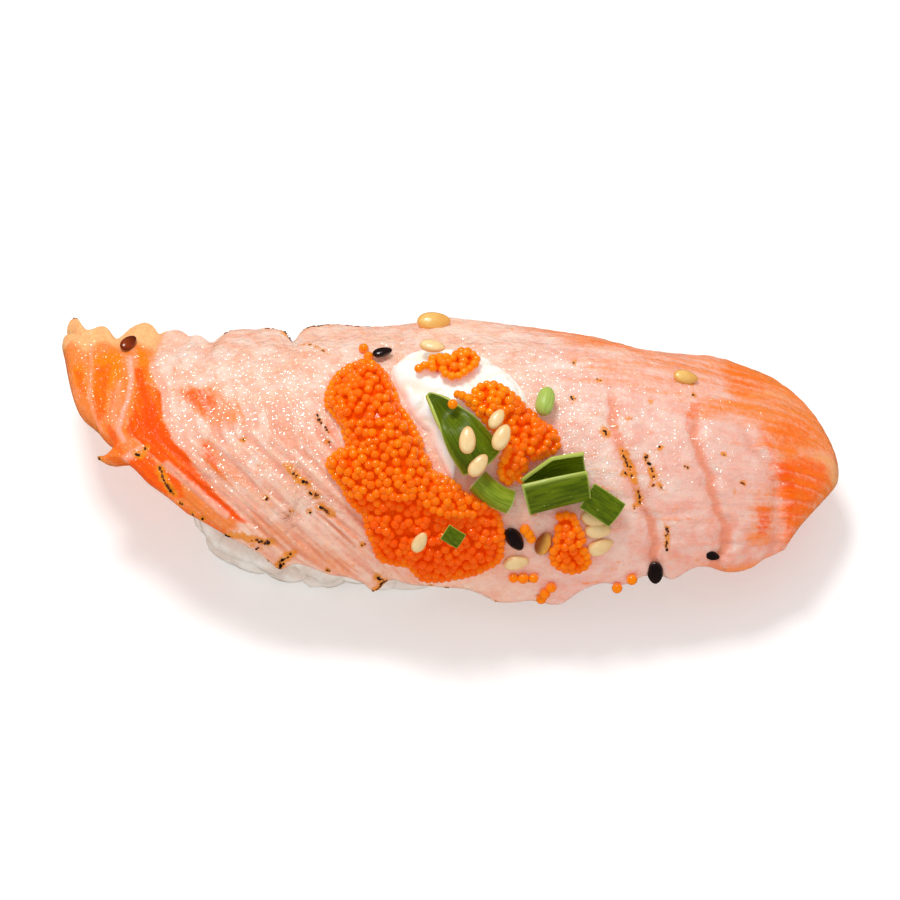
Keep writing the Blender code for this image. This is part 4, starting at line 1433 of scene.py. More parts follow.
    def crust(self) -> None:
        """Builds and dresses the burnt crust on the seared marks."""
        unit = sphere("crust_speck", 6, 4)
        rough = ripple(corners_of(unit), 0.4, 2.0)
        move_corners(unit, corners_of(unit) * (1 + 0.35 * rough[:, None]))
        draw = np.random.default_rng(21)
        places, tints = [], []
        for x, slide, size in self.specks(draw):
            angle = math.degrees(slide / UNROLL_MM)
            if self.inward(np.float64(x), np.float64(angle)) < self.crust_clear:
                continue
            lift = float(self.skin(np.float64(x), np.float64(angle)))
            spot = DRAPE.frame_at(x * MM, angle, lift * MM, draw.uniform(0, 360))
            wide = size * draw.uniform(0.7, 1.3)
            places.append(spot @ Matrix.Diagonal((wide * MM, size * MM, 0.5 * size * MM, 1)))
            tints.append(float(np.clip(draw.normal(0.35, 0.4), 0, 1)))
        piece = copies("burnt_crust", unit, places, tints)
        settle(piece, CharFinish().build(), Slot.SALMON)


# ---------------------------------------------------------------- the rice


@dataclass
class RiceBall:
    """The pressed rice: a core with whole grains over it."""

    ends: Sequence[float] = (-30.0, 31.5)
    end_height: float = 6.0
    blunt: float = 0.5
    drop: float = 0.35
    grain_size: Sequence[float] = (6.2, 3.4, 3.0)
    spacing: float = 2.8
    core_sunk: float = 0.5
    covered_lift: float = -0.8
    bare_lift: Sequence[float] = (-1.4, -1.0)
    tries: int = 9000
    most: int = 330
    seed: int = 5

    def place(self, along: float, turn: float, sunk: float = 0.0) -> Vector:
        """A point of the core.

        Args:
            along: From -1 to 1 between its ends.
            turn: Degrees round its length, 0 on top.
            sunk: How far below its skin, in mm.

        Returns:
            The point, in metres.
        """
        middle = sum(self.ends) / 2
        half = (self.ends[1] - self.ends[0]) / 2 - sunk
        x = middle + half * math.copysign(abs(along) ** self.blunt, along)
        spread = (1 - along * along) ** (self.blunt / 2)
        centre, width, springing, rise = (float(v) / MM for v in DRAPE.section(x * MM))
        drop = self.drop + sunk
        sine, cosine = math.sin(math.radians(turn)), math.cos(math.radians(turn))
        tucked = float(ease(-5.0, 2.0, np.float64(x))) if sine < 0 else 0.0
        width -= tucked * (1.3 + 1.2 * float(ease(8.0, 22.0, np.float64(x)))) * abs(sine)
        if cosine >= 0:
            across = (width - drop) * sine
            up = springing + (rise - drop) * cosine
        else:
            across = (width - drop) * math.copysign(abs(sine) ** (0.5 + 0.5 * tucked), sine)
            up = springing * (1 - 1.12 * abs(cosine) ** 0.5)
        up = self.end_height + (up - self.end_height) * spread**0.8
        return Vector((x, centre + across * spread, max(sunk, up))) * MM

    def core(self) -> bpy.types.Object:
        """The pressed mass between the grains."""
        piece = sphere("rice_core", 48, 28)
        corners = corners_of(piece) * 2
        turns = np.degrees(np.arctan2(corners[:, 1], corners[:, 0]))
        alongs = np.clip(corners[:, 2], -1, 1)
        move_corners(piece, [self.place(a, t, self.core_sunk) for a, t in zip(alongs, turns)])
        recalculate(piece)
        piece.data.shade_smooth()
        # Painted shade: the core between the grains takes the full shadow colour.
        write_values(piece, "tint", np.ones(len(piece.data.vertices)))
        return piece

    def grains(self) -> bpy.types.Object:
        """The whole grains over the core."""
        unit = sphere("grain", 10, 7)
        corners = corners_of(unit)[:, (2, 0, 1)]
        corners[:, 1:] *= (1 + 0.25 * np.abs(corners[:, :1])) * (1 - 0.15 * corners[:, :1])
        corners[:, 2] += 0.12 * corners[:, 0] ** 2
        move_corners(unit, corners)
        recalculate(unit)
        draw = np.random.default_rng(self.seed)
        slice_edges = SalmonSlice()
        places, centres, tints = [], [], []
        for _ in range(self.tries):
            if len(places) == self.most:
                break
            along = math.sin(draw.uniform(-1.5, 1.5))
            turn = draw.uniform(-125, 125)
            size = [side * draw.uniform(0.88, 1.12) * MM for side in self.grain_size]
            heading = Vector(draw.normal(size=3) * (1.6, 0.8, 0.6))
            spot = self.place(along, turn)
            ahead = self.place(min(along + 0.01, 0.999), turn)
            ahead -= self.place(max(along - 0.01, -0.999), turn)
            around = self.place(along, turn + 1) - self.place(along, turn - 1)
            up = ahead.cross(around).normalized()
            front = float(smooth(slice_edges.front_edge, spot.x / MM))
            back = float(smooth(slice_edges.back_edge, spot.x / MM))
            bare = turn < front - 3 or turn > back + 3
            lift = draw.uniform(*self.bare_lift) * MM if bare else self.covered_lift * size[2]
            centre = spot + up * lift
            if any((centre - other).length < self.spacing * MM for other in centres):
                continue
            lie = (heading - up * heading.dot(up)).normalized()
            side = up.cross(lie)
            reach = math.hypot(lie.z * size[0], side.z * size[1], up.z * size[2]) / 2
            centre.z = max(centre.z, 1.12 * reach + 0.05 * MM)
            axes = Matrix((lie * size[0], side * size[1], up * size[2])).transposed().to_4x4()
            places.append(Matrix.Translation(centre) @ axes)
            centres.append(centre)
            tints.append(draw.uniform(0.2, 1.0))
        return copies("rice", unit, places, tints)

    def build(self) -> None:
        """Builds and dresses the rice."""
        finish = RiceFinish().build()
        core = self.core()
        settle(core, finish, Slot.RICE)
        rice = self.grains()
        settle(rice, finish, Slot.RICE, ["rice_ball"])


# ---------------------------------------------------------------- mounds


def slice_lift(x: Array, slide: Array) -> Array:
    """Lift of the slice's top.

    Args:
        x: Places along the slice, in metres.
        slide: Places round it, unrolled, in metres.

    Returns:
        The lift, in metres.
    """
    return SalmonSlice().lift(x / MM, np.degrees(slide / UNROLL)) * MM


def lift_at(x: float, angle: float) -> float:
    """Lift of the slice's top at one place, in mm."""
    return float(SalmonSlice().lift(np.float64(x), np.float64(angle)))


@dataclass
class Mound:
    """A low mound inside an outline of (x in mm, angle) corners round a middle that sees them all."""

    outline: Knots
    middle: Sequence[float]
    height: float
    under: Callable[[Array, Array], Array] = slice_lift
    blunt: float = 2.4
    inset: float = 0.35
    terrace: Region | None = None
    drop: float = 0.0

    def __post_init__(self) -> None:
        """Works out the outline's reach in every direction."""
        to_plan = (MM, math.radians(1) * UNROLL)
        self.corners = np.array(self.outline, float) * to_plan
        self.centre = np.array(self.middle, float) * to_plan
        away = self.corners - self.centre
        bearing = np.arctan2(away[:, 1], away[:, 0])
        order = np.argsort(bearing)
        self.bearings = bearing[order]
        self.reaches = np.hypot(*away.T)[order] - self.inset * MM

    def reach(self, bearing: Array) -> Array:
        """Distance from the middle to the outline."""
        return np.interp(bearing, self.bearings, self.reaches, period=2 * math.pi)

    def share(self, x: Array, slide: Array) -> Array:
        """How far out a place lies: 0 in the middle, 1 on the outline."""
        right, back = x - self.centre[0], slide - self.centre[1]
        return np.hypot(right, back) / self.reach(np.arctan2(back, right))

    def top(self, x: Array, slide: Array) -> Array:
        """Lift of the mound, or of what is under it outside the outline."""
        out = np.clip(self.share(x, slide), 0, 1)
        height = self.height - self.drop * self.sunk(np.stack([x, slide], -1) / MM)
        return self.under(x, slide) + height * MM * (1 - out**self.blunt) ** 0.5

    def sunk(self, plan: Array) -> Array:
        """Where its lower terrace lies: 1 on it and 0 off it."""
        return self.terrace.reach(plan) if self.terrace else np.zeros(len(plan))

    def margin(self, x: Array, slide: Array) -> Array:
        """How far inside the outline a place lies, in metres."""
        right, back = x - self.centre[0], slide - self.centre[1]
        return self.reach(np.arctan2(back, right)) - np.hypot(right, back)

    def body(self, name: str, sides: int, rings: int, sunk: float = 0.0) -> bpy.types.Object:
        """The mound as a closed skin.

        Args:
            name: Name of the piece.
            sides: Segments round it.
            rings: Rings from base to top.
            sunk: How far its top is below the mound's, in mm.

        Returns:
            The piece, with "fold" ready for its finish.
        """
        piece = sphere(name, sides, rings)
        corners = corners_of(piece) * 2
        out = np.minimum(np.hypot(corners[:, 0], corners[:, 1]), 1)
        bearing = np.arctan2(corners[:, 1], corners[:, 0])
        out_share = np.sin(out * math.pi / 2) ** 0.9
        reach = out_share * (self.reach(bearing) - 0.5 * sunk * MM)
        x = self.centre[0] + np.cos(bearing) * reach
        slide = self.centre[1] + np.sin(bearing) * reach
        low = self.under(x, slide)
        high = self.height * MM * np.maximum(0.0, 1 - out_share**self.blunt) ** 0.5
        high -= self.drop * self.sunk(np.stack([x, slide], -1) / MM) * MM
        upper = low + np.maximum(high - sunk * MM, 0.25 * MM)
        lift = np.where(corners[:, 2] < -1e-4, low - 0.2 * MM, upper)
        move_corners(piece, DRAPE.place(x, np.degrees(slide / UNROLL), lift))
        recalculate(piece)
        piece.data.shade_smooth()
        return piece


CREAM = Mound(
    [
        (-6.6, 15), (-5.0, 21), (-2.2, 24), (1, 22), (3.8, 19), (5.5, 15), (7.5, 9), (8.6, 3),
        (8.6, -4), (6, -9), (3, -11), (1.2, -15), (0.8, -22), (0.4, -29), (-1.0, -21), (-2.2, -11),
        (-5.0, 2),
    ],
    (1.0, 6.0), 2.3, blunt=3.4, inset=0.0,
)  # fmt: skip


def cream_lift(x: Array, slide: Array) -> Array:
    """Lift over the cream, or over the slice beside it.

    Args:
        x: Places along the slice, in metres.
        slide: Places round it, unrolled, in metres.

    Returns:
        The lift, in metres.
    """
    return CREAM.top(x, slide) + GAP


@dataclass
class CreamDollop:
    """The dollop of cream, spooned into soft folds."""

    sides: int = 96
    rings: int = 56
    fold_size: float = 2.6
    folds: float = 0.42
    swell: float = 0.25
    crease_width: float = 0.12

    def build(self) -> None:
        """Builds and dresses the cream."""
        piece = CREAM.body("cream", self.sides, self.rings)
        corners = corners_of(piece)
        level = 0 * corners[:, 0]
        flat = np.stack([corners[:, 0], corners[:, 1], level], axis=-1) / MM
        twisted = flat + np.stack([ripple(flat, 3.0, 1.0), ripple(flat, 3.0, 2.0), level], -1) * 2
        wave = ripple(twisted, self.fold_size, 4.0)
        crease = np.exp(-((wave / self.crease_width) ** 2))
        inward = 1 - np.abs(ripple(flat, 6.0, 8.0))
        corners[:, 2] += (self.swell * wave - self.folds * crease * inward) * MM
        move_corners(piece, corners)
        # Painted shade in the fold creases.
        write_values(piece, "fold", np.clip(0.7 * crease, 0, 1))
        settle(piece, CreamFinish().build(), Slot.CREAM, ["cream_dollop"])


@dataclass
class RoeHeap:
    """A heap of roe beads over its own core."""

    name: str
    mound: Mound
    seed: int = 11
    radius: float = 0.55
    pitch: float = 0.72
    row_step: float = 0.866
    shake: float = 0.13
    clear: float = 0.35
    uneven: float = 0.3
    closest: float = 0.58
    foot_step: float = 1.05
    seat: float = 0.9
    core_sunk: float = 0.3
    warmth: float = 0.45
    warming: Knots = ((-50.0, 0.0), (50.0, 0.0))

    def foot(self) -> Array:
        """Places of the beads round the heap's foot, in metres."""
        bearing = np.linspace(-math.pi, math.pi, 1441)
        reach = self.mound.reach(bearing)[:, None]
        line = self.mound.centre + reach * np.stack([np.cos(bearing), np.sin(bearing)], -1)
        run = np.concatenate([[0], np.cumsum(np.hypot(*np.diff(line, axis=0).T))])
        marks = np.arange(0, run[-1], self.foot_step * self.pitch * MM)
        return np.stack([np.interp(marks, run, line[:, k]) for k in range(2)], -1)

    def beads(self) -> tuple[list[Matrix], list[float]]:
        """Packs beads on the heap, round its foot and over it.

        Returns:
            A matrix and a tint for each bead.
        """
        draw = np.random.default_rng(self.seed)
        pitch = self.pitch * MM
        low, high = self.mound.corners.min(axis=0), self.mound.corners.max(axis=0)
        columns = np.arange(low[0], high[0], pitch)
        rows = np.arange(low[1], high[1], self.row_step * pitch)
        lattice = [(x + number % 2 * pitch / 2, y) for number, y in enumerate(rows) for x in columns]
        spots = np.array(lattice) + draw.normal(0, self.shake * MM, (len(lattice), 2))
        margin = self.mound.margin(*spots.T)
        spots = np.vstack([self.foot(), spots[margin > self.clear * MM]])
        margin = self.mound.margin(*spots.T)
        x, slide = spots.T
        rest = self.mound.under(x, slide) + self.seat * self.radius * MM
        proud = draw.uniform(0.0, self.uneven, len(x)) * MM
        lift = np.maximum(self.mound.top(x, slide) + proud, rest)
        centres = DRAPE.place(x, np.degrees(slide / UNROLL), lift)
        kept = np.empty((0, 3))
        places, tints = [], []
        for spot, centre, inward in zip(spots, centres, margin):
            size = self.radius * draw.uniform(0.92, 1.08) * MM
            if len(kept) and np.linalg.norm(kept - centre, axis=1).min() < self.closest * 2 * size:
                continue
            kept = np.vstack([kept, centre])
            turn = Matrix.Rotation(draw.uniform(0, 6.28), 4, Vector(draw.normal(size=3)))
            places.append(Matrix.Translation(Vector(centre)) @ turn @ Matrix.Scale(2 * size, 4))
            # Painted light: beads near the heap's edge are lighter, as if lit through; painted shade:
            # beads on the lower terrace are darker.
            rim = float(1 - ease(0.2, 1.4, np.float64(inward / MM)))
            sunk = float(self.mound.sunk(spot[None] / MM)[0])
            warmer = float(smooth(self.warming, spot[0] / MM))
            tint = self.warmth + warmer + 0.35 * rim - 0.4 * sunk + draw.uniform(-0.2, 0.2)
            tints.append(float(np.clip(tint, 0, 1)))
        return places, tints

    def build(self, finish: bpy.types.Material, depth: bpy.types.Material) -> None:
        """Builds and dresses the heap.

        Args:
            finish: Finish of the beads.
            depth: Finish of the core between them, whose deepest orange is painted shade in the gaps.
        """
        core = self.mound.body(self.name + "_core", 40, 20, self.core_sunk)
        # Painted shade: the core takes the deepest orange of its finish, showing in the gaps between the
        # beads.
        write_values(core, "tint", np.zeros(len(core.data.vertices)))
        settle(core, depth, Slot.ROE)
        places, tints = self.beads()
        piece = copies(self.name + "_beads", sphere("bead", 8, 6), places, tints)
        settle(piece, finish, Slot.ROE, [self.name])


def roe_heaps() -> list[RoeHeap]:
    """The four heaps of roe."""
    main = Mound(
        [
            (-7.4, 13), (-9.4, 20), (-12.5, 14), (-14, 4), (-14, 0), (-12, -8), (-11.4, -16),
            (-14, -22), (-12.2, -30), (-9.5, -41), (-8.5, -52), (-7.8, -58), (-4.6, -60), (-2.8, -67),
            (0.2, -66), (4, -62), (5.8, -58), (5.8, -43), (5.0, -38), (3.2, -34), (1.2, -31.5),
            (-0.6, -31.5), (-2.0, -26), (-3.0, -18), (-4.0, -10), (-5.8, -1),
        ],
        (-5.5, -27.0), 2.5,
        terrace=Region([
            (-14, -31), (-7.5, -36), (-4, -33.5), (-1.2, -40), (1.7, -41), (4, -38), (5.8, -34),
            (8, -40), (8, -62), (-1, -80), (-9, -74), (-14, -50),
        ], 1.0, 0.25),
        drop=0.9,
    )  # fmt: skip
    side = Mound(
        [
            (0.4, -0.5), (2.2, -1), (3.4, 3), (5.0, 3), (6.4, 1), (8, -2), (10.2, -7), (12.2, -12),
            (12.4, -16.5), (10.8, -19.6), (8.6, -21), (7.8, -25.5), (8.0, -29.5), (6.4, -30),
            (5.6, -28), (5.5, -24), (6.1, -19), (6.2, -13), (5.0, -8.0), (2.4, -5),
        ],
        (8.6, -14.0), 1.8, cream_lift,
    )  # fmt: skip
    crest = Mound(
        [
            (-3.8, 8.5), (-3.2, 11), (-2.5, 12), (-1.5, 10.5), (-0.5, 10.5), (0.2, 12.5), (1, 16),
            (1.8, 17), (2.5, 15.5), (3.2, 13), (3, 9.5), (2.5, 7.5), (1.5, 5.5), (0.5, 4),
            (-0.2, 4.5), (-1, 6), (-1, 7.5), (-1.8, 8.5), (-2.8, 7.5),
        ],
        (1.5, 10), 0.7, cream_lift,
    )  # fmt: skip
    front = Mound(
        [
            (12, -40), (13.6, -39), (14.4, -45), (15, -53), (15.7, -60), (14.2, -63), (12.6, -62),
            (11.4, -58), (11.8, -52), (12.2, -46),
        ],
        (13.4, -52.0), 0.8,
    )  # fmt: skip
    return [
        RoeHeap("roe_main", main, 11),
        RoeHeap("roe_side", side, 12, warmth=0.3, warming=((3, 0.6), (6, 0.5), (8, 0.0), (12, 0.0))),
        RoeHeap("roe_crest", crest, 13, warmth=0.75),
        RoeHeap("roe_front", front, 14, warmth=0.3),
    ]


@dataclass
class LooseRoe:
    """Single beads on the slice and on the leaf."""

    places: Knots = (
        (7.2, -66), (8.3, -66), (9.5, -66), (11.5, -70.5), (10.8, -73.5), (10.4, -76.5),
        (18.9, -70.5), (20.5, -66), (-9.8, 27), (8.5, -46), (9.2, -49.5), (-9.2, 22.0),
        (12.4, -47.5), (8.9, -47.6),
    )  # fmt: skip
    raised: Knots = ((0.3, -6.5, 8.7),)
    radii: Sequence[float] = (0.58, 0.68)

    def build(self, finish: bpy.types.Material) -> None:
        """Builds and dresses the single beads.

        Args:
            finish: Finish of the beads.
        """
        places, tints = [], []
        draw = np.random.default_rng(3)
        lying = [(x, angle, lift_at(x, angle)) for x, angle in self.places]
        for x, angle, lift in [*lying, *self.raised]:
            radius = draw.uniform(*self.radii)
            lift += 0.5 * radius
            spot = DRAPE.frame_at(x * MM, angle, lift * MM, 0)
            places.append(spot @ Matrix.Scale(2 * radius * MM, 4))
            # Painted light: the single beads take the lighter, yellower end of the bead colours, as if
            # lit through.
            tints.append(draw.uniform(0.7, 1.0))
        piece = copies("loose_roe", sphere("bead", 12, 8), places, tints)
        settle(piece, finish, Slot.ROE)


# ---------------------------------------------------------------- scallion


@dataclass
class Strip:
    """A bent strip of scallion: a section carried along a path of (x in mm, angle, lift in mm)."""

    name: str
    path: Knots
    section: Callable[[float], Sequence[Sequence[float]]]
    wall: float = 0.45
    steps: int = 28
    points: int = 24

    def build(self, finish: bpy.types.Material) -> None:
        """Builds and dresses the strip.

        Args:
            finish: Its finish.
        """
        path = np.array(self.path, float)
        knots = np.linspace(0, 1, len(path))
        shares = np.linspace(0, 1, self.steps + 1)
        x, angle, lift = (smooth(np.stack([knots, path[:, k]], -1), shares) for k in range(3))
        middles = DRAPE.place(x * MM, angle, lift * MM)
        along = np.gradient(middles, axis=0)
        along /= np.linalg.norm(along, axis=1, keepdims=True)
        up = DRAPE.outward(x * MM, angle)
        up -= along * (up * along).sum(axis=1, keepdims=True)
        up /= np.linalg.norm(up, axis=1, keepdims=True)
        across = np.cross(up, along)
        piece = sheet_grid(self.name, self.steps, self.points)
        spots = corners_of(piece)[:, :2] + 0.5
        step = np.round(spots[:, 0] * self.steps).astype(int)
        sides, heights = np.zeros(len(spots)), np.zeros(len(spots))
        for number in range(self.steps + 1):
            outline = np.array(self.section(shares[number]), float)
            run = np.linspace(0, 1, len(outline))
            mine = step == number
            sides[mine] = smooth(np.stack([run, outline[:, 0]], -1), spots[mine, 1])
            heights[mine] = smooth(np.stack([run, outline[:, 1]], -1), spots[mine, 1])
        corners = middles[step] + across[step] * sides[:, None] * MM + up[step] * heights[:, None] * MM
        move_corners(piece, corners)
        write_values(piece, "leaf", np.stack([spots[:, 0], spots[:, 1], 0 * step], -1))
        inside = np.minimum(spots, 1 - spots) * (1.5, 1)
        near = inside.min(axis=1)
        write_values(piece, "rim", 1 - ease(0.0, 0.05, near))
        apply_modifier(piece, "SOLIDIFY", thickness=self.wall * MM, offset=0.0)
        piece.data.shade_smooth()
        settle(piece, finish, Slot.SCALLION, [self.name.replace("cut_", "")])


def arch(half_width: float, rise: float) -> list[tuple[float, float]]:
    """Section of a bowed strip.

    Args:
        half_width: Half its width, in mm.
        rise: Height of its middle, in mm.

    Returns:
        Points of (side, height).
    """
    return [(half_width * t, rise * (1 - t * t)) for t in np.linspace(-1, 1, 9)]


def leaf_section(share: float) -> list[tuple[float, float]]:
    """The pointed leaf: hollow at its tip, and bowed where it widens."""
    half_width = 0.25 + 2.25 * math.sin(0.5 * math.pi * min(1.0, 1.25 * share)) ** 0.9
    bow = float(smooth(((0, -0.5), (0.3, -0.45), (0.48, 0.3), (1, 0.55)), share))
    return arch(half_width, bow * half_width)


def tube_section(share: float) -> list[tuple[float, float]]:
    """A flattened tube slit along its top, its back wall growing along its length."""
    front = [(0.9, 2.3), (-0.7, 2.0), (-2.1, 1.2), (-2.6, 0.4), (-1.6, 0.0)]
    grown = min(1.0, 0.25 + 1.6 * share)
    back = [(0.6, 0.0), (0.6 + 1.7 * grown, 0.5 * grown), (0.6 + 2.4 * grown, 1.7 * grown)]
    tip = (0.6 + 2.5 * grown, 2.7 * grown)
    stretch = 1.0 - 0.12 * share
    return [(side * stretch, height * stretch) for side, height in [*front, *back, tip]]


@dataclass
class Scallions:
    """The cut scallion: a pointed leaf, a slit tube, a slip, a ring, a chip and a stub."""

    stub_size: Sequence[float] = (3.6, 2.1, 1.9, 0.35)
    stub_place: Sequence[float] = (10.7, -0.5, 5.7, 78)

    def stub(self, finish: bpy.types.Material) -> None:
        """Builds the short pale stub.

        Args:
            finish: Its finish.
        """
        piece = sphere("cut_scallion_stub", 20, 14)
        corners = corners_of(piece)
        length, width, height, taper = self.stub_size
        along = corners[:, 2]
        blunt = np.sign(along) * np.abs(2 * along) ** 0.7 / 2
        wide = corners[:, 0] * (width - taper * along)
        shaped = np.stack([blunt * length, wide, corners[:, 1] * height], -1)
        x, angle, lift, turn = self.stub_place
        matrix = np.array(DRAPE.frame_at(x * MM, angle, lift * MM, turn))
        move_corners(piece, shaped * MM @ matrix[:3, :3].T + matrix[:3, 3])
        recalculate(piece)
        piece.data.shade_smooth()
        round_it = np.arctan2(corners[:, 1], corners[:, 0]) / 6
        write_values(piece, "leaf", np.stack([along, round_it, 0 * along], -1))
        write_values(piece, "rim", np.full(len(along), 0.6))
        settle(piece, finish, Slot.SCALLION, ["scallion_stub"])

    def build(self) -> None:
        """Builds and dresses every cut of scallion."""
        finish = ScallionFinish("scallion_green").build()
        strips = [
            Strip(
                "cut_scallion_leaf",
                [
                    (-2.4, -1.5, 7.7), (-1.2, -5, 8.0), (0.0, -9, 7.9), (1.1, -13, 7.6),
                    (2.1, -17, 7.1), (2.9, -20, 6.5), (3.5, -22.5, 5.9),
                ],
                leaf_section,
            ),
            Strip(
                "cut_scallion_tube",
                [
                    (8.4, -31.8, 4.85), (10.4, -30.2, 4.95), (12.2, -28.8, 5.0), (13.9, -27.5, 5.0),
                    (15.2, -26.5, 5.0),
                ],
                tube_section,
            ),
            Strip(
                "cut_scallion_slip",
                [(15.2, -32.5, 5.3), (16.3, -34.5, 5.35), (17.4, -36.8, 5.3), (18.4, -39, 5.1)],
                lambda share: arch(1.55, 0.35),
            ),
            Strip(
                "cut_scallion_ring",
                [(3.0, -28.5, 5.3), (4.1, -31.5, 5.4), (5.4, -34.0, 5.4), (6.9, -35.8, 5.2)],
                lambda share: arch(1.25, 1.1),
            ),
            Strip(
                "cut_scallion_chip",
                [(-0.6, -43.5, 8.1), (0.3, -45.0, 8.2), (1.2, -46.5, 8.1)],
                lambda share: arch(0.9, 0.2),
            ),
        ]  # fmt: skip
        white = ScallionFinish(
            "scallion_white", tone(150, 168, 44), tone(112, 136, 18), tone(220, 218, 160)
        ).build()
        for strip in strips:
            strip.build(white if strip.name.endswith("ring") else finish)
        pale = ScallionFinish(
            "scallion_stub", tone(160, 190, 66), tone(128, 164, 40), tone(190, 208, 110)
        ).build()
        self.stub(pale)


# ---------------------------------------------------------------- sesame


@dataclass
class Sesame:
    """The scattered seeds of one kind.

    A row holds x in mm, angle, turn, length and lift in mm, tilt, tint and roll.
    """

    name: str
    slot: Slot
    finish: SesameFinish
    rows: Knots
    shape: Sequence[float] = (1.0, 0.58, 0.34)
    taper: float = 0.32
    fullness: float = 1.04

    def build(self) -> None:
        """Builds and dresses the seeds."""
        unit = sphere("seed", 14, 10)
        corners = corners_of(unit)[:, (2, 0, 1)]
        corners[:, 1:] *= (1 - self.taper * corners[:, :1]) * self.fullness
        move_corners(unit, corners * self.shape)
        recalculate(unit)
        places = []
        for x, angle, turn, length, lift, tilt, _, roll in self.rows:
            spot = DRAPE.frame_at(x * MM, angle, lift * MM, turn, tilt)
            spot = spot @ Matrix.Rotation(math.radians(roll), 4, "X")
            places.append(spot @ Matrix.Scale(length * MM, 4))
        piece = copies(self.name, unit, places, [row[-2] for row in self.rows])
        settle(piece, self.finish.build(), self.slot)


SEED_LIFT = 0.15
SEED_LIFT_A_DEGREE = 0.008


def on_slice(rows: Knots) -> list[tuple[float, ...]]:
    """Adds the lift of the slice to rows of x, angle, turn, length, tilt, tint and roll."""
    made = []
    for x, angle, turn, length, tilt, tint, roll in rows:
        lift = lift_at(x, angle) + SEED_LIFT + SEED_LIFT_A_DEGREE * abs(roll)
        made.append((x, angle, turn, length, lift, tilt, tint, roll))
    return made


def sesame_seeds() -> list[Sesame]:
    """White, toasted and black seeds."""
    white = on_slice(
        [
            (7.5, -59.5, 22, 3.0, 0, 0.2, 0), (16.0, -41.5, -20, 3.0, 3, 0.3, 0),
            (16.5, -46.0, 5, 3.1, 3, 0.3, 0), (16.8, -52.5, 38, 3.2, 0, 0.4, 0),
        ]
    )  # fmt: skip
    white += [
        (-1.9, 16.5, -15, 3.0, 7.6, 0, 0.2, 0),
        (1.9, -17, 88, 3.2, 8.9, 0, 0.2, 0),
        (5.7, -16.0, 66, 3.2, 8.9, 0, 0.3, 0),
        (3.1, -24.0, 55, 3.0, 8.0, 0, 0.3, 0),
        (5.1, -10.2, 60, 2.6, 8.3, 0, 0.3, 0),
        (-3.4, -47, 70, 2.6, 7.9, 0, 0.3, 0),
    ]
    golden = on_slice([(-1.8, 46, 5, 3.9, 0, 0.6, 46), (25.8, 24, 8, 3.0, 0, 0.5, 25)])
    toasted = on_slice([(10.6, -51.5, 78, 3.1, 6, 0.95, 0)])
    browned = on_slice([(-36.8, 34, 62, 2.6, 0, 1.0, 26)])
    black = on_slice(
        [
            (7.3, -50, -68, 3.1, 0, 0.5, 0), (23.2, -64, -86, 3.1, 0, 0.5, 0),
            (29.2, -54, -30, 1.8, 0, 0.5, 0),
        ]
    )  # fmt: skip
    black += [(-7.6, 22.5, 25, 2.4, 5.0, 0, 0.5, 0)]
    kinds = (
        ("sesame_pale", Slot.SESAME_WHITE, white, ()),
        ("sesame_golden", Slot.SESAME_WHITE, golden, (tone(252, 208, 122), tone(232, 146, 44), 0.25)),
        (
            "sesame_toasted", Slot.SESAME_WHITE, toasted,
            (tone(255, 190, 84), tone(140, 56, 4), 0.2, True, 0.2),
        ),
        ("sesame_browned", Slot.SESAME_WHITE, browned, (tone(158, 62, 14), tone(92, 26, 6), 0.16)),
        ("sesame_dark", Slot.SESAME_BLACK, black, (tone(22, 14, 14), tone(48, 26, 20), 0.22)),
    )  # fmt: skip
    return [Sesame(name, slot, SesameFinish(name, *look), rows) for name, slot, rows, look in kinds]


# ---------------------------------------------------------------- the studio


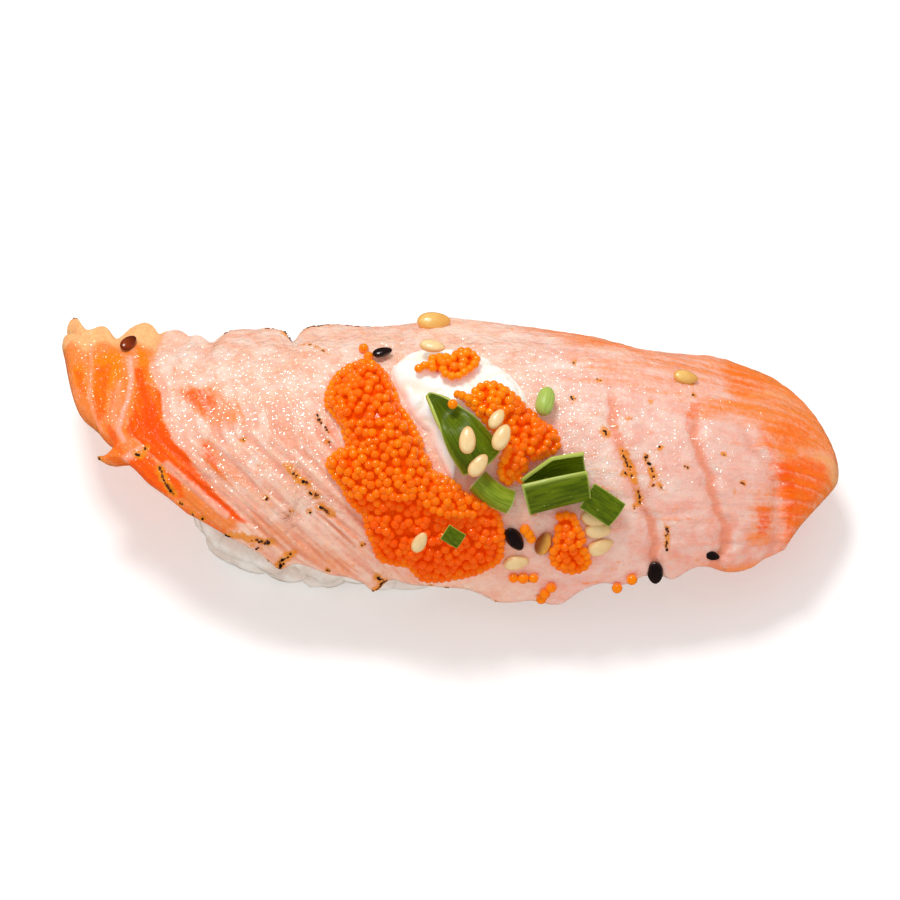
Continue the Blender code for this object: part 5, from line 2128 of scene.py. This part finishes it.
@dataclass
class Studio:
    """Plain pale floor, soft light and the camera."""

    target: Sequence[float] = (0.0, 0.0009, 0.010)
    distance: float = 0.5
    elevation: float = 62.0
    lens: float = 172.86
    fill: float = 0.69
    gloss: float = 0.03
    sky_tone: Colour = (1.0, 0.99, 0.98)
    floor_size: float = 4.0
    floor_tone: Colour = (0.88, 0.88, 0.88)
    floor_glow: float = 0.22
    key_power: float = 1.45
    key_size: float = 0.14
    key_place: Sequence[float] = (-0.1, 0.22, 0.5)

    def build(self) -> None:
        """Sets up the floor, the lights and the camera."""
        settings = bpy.context.scene.view_settings
        settings.view_transform = "Standard"
        settings.look = "None"
        self.sky()
        self.floor()
        self.light("key_light", self.key_place, self.key_size, self.key_power)
        self.camera()

    def sky(self) -> None:
        """Lights the scene evenly, and hardly shows in what is glossy."""
        world = bpy.data.worlds.new("studio")
        world.use_nodes = True
        tree = world.node_tree
        sky = tree.nodes["Background"]
        sky.inputs["Color"].default_value = (*self.sky_tone, 1.0)
        rays = tree.nodes.new("ShaderNodeLightPath")
        fill = tree.nodes.new("ShaderNodeMapRange")
        fill.inputs["To Min"].default_value = self.fill
        fill.inputs["To Max"].default_value = self.gloss
        tree.links.new(rays.outputs["Is Glossy Ray"], fill.inputs["Value"])
        tree.links.new(fill.outputs["Result"], sky.inputs["Strength"])
        bpy.context.scene.world = world

    def floor(self) -> None:
        """Adds the pale floor."""
        deselect()
        bpy.ops.mesh.primitive_plane_add(size=self.floor_size, location=(0, 0, 0))
        floor = started("floor")
        shade = Shade("pale_floor")
        floor.data.materials.append(
            shade.finish(
                Base_Color=self.floor_tone,
                Roughness=0.95,
                Specular_IOR_Level=0.0,
                Emission_Color=(1.0, 1.0, 1.0),
                Emission_Strength=self.floor_glow,
            )
        )
        floor.visible_glossy = False

    def camera(self) -> None:
        """Adds the camera, which looks down on the nigiri from the front."""
        scene = bpy.context.scene
        camera = bpy.data.cameras.new("camera")
        camera.lens = self.lens
        camera.sensor_width = 36.0
        camera.clip_start = 0.01
        holder = bpy.data.objects.new("camera", camera)
        scene.collection.objects.link(holder)
        turn = math.radians(self.elevation)
        aim = Vector((0, math.cos(turn), -math.sin(turn)))
        holder.location = Vector(self.target) - aim * self.distance
        holder.rotation_euler = aim.to_track_quat("-Z", "Y").to_euler()
        scene.camera = holder

    def light(self, name: str, place: Sequence[float], size: float, power: float) -> None:
        """Adds a square soft light that faces the nigiri.

        Args:
            name: Its name.
            place: Where it hangs, in metres.
            size: Its side, in metres.
            power: Its power, in watts.
        """
        data = bpy.data.lights.new(name, "AREA")
        data.shape = "SQUARE"
        data.size = size
        data.energy = power
        lamp = bpy.data.objects.new(name, data)
        bpy.context.scene.collection.objects.link(lamp)
        lamp.location = place
        aim = Vector(self.target) - Vector(place)
        lamp.rotation_euler = aim.to_track_quat("-Z", "Y").to_euler()


def main() -> None:
    """Builds and dresses the nigiri in its studio."""
    logging.basicConfig(level=logging.INFO, format="%(name)s %(message)s")
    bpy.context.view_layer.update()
    salmon = SalmonSlice()
    salmon.build()
    salmon.crust()
    RiceBall().build()
    CreamDollop().build()
    beads = RoeFinish("roe_bead").build()
    dull = {"wetness": 0.2, "lumps": 0.0007}
    # The core's finish: deep orange, painted shade between the beads.
    depth = RoeFinish("roe_core", tone(248, 84, 0), tone(250, 110, 0), **dull).build()
    for heap in roe_heaps():
        heap.build(beads, depth)
    LooseRoe().build(beads)
    Scallions().build()
    for seeds in sesame_seeds():
        seeds.build()
    Studio().build()
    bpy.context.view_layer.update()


if __name__ == "__main__":
    main()
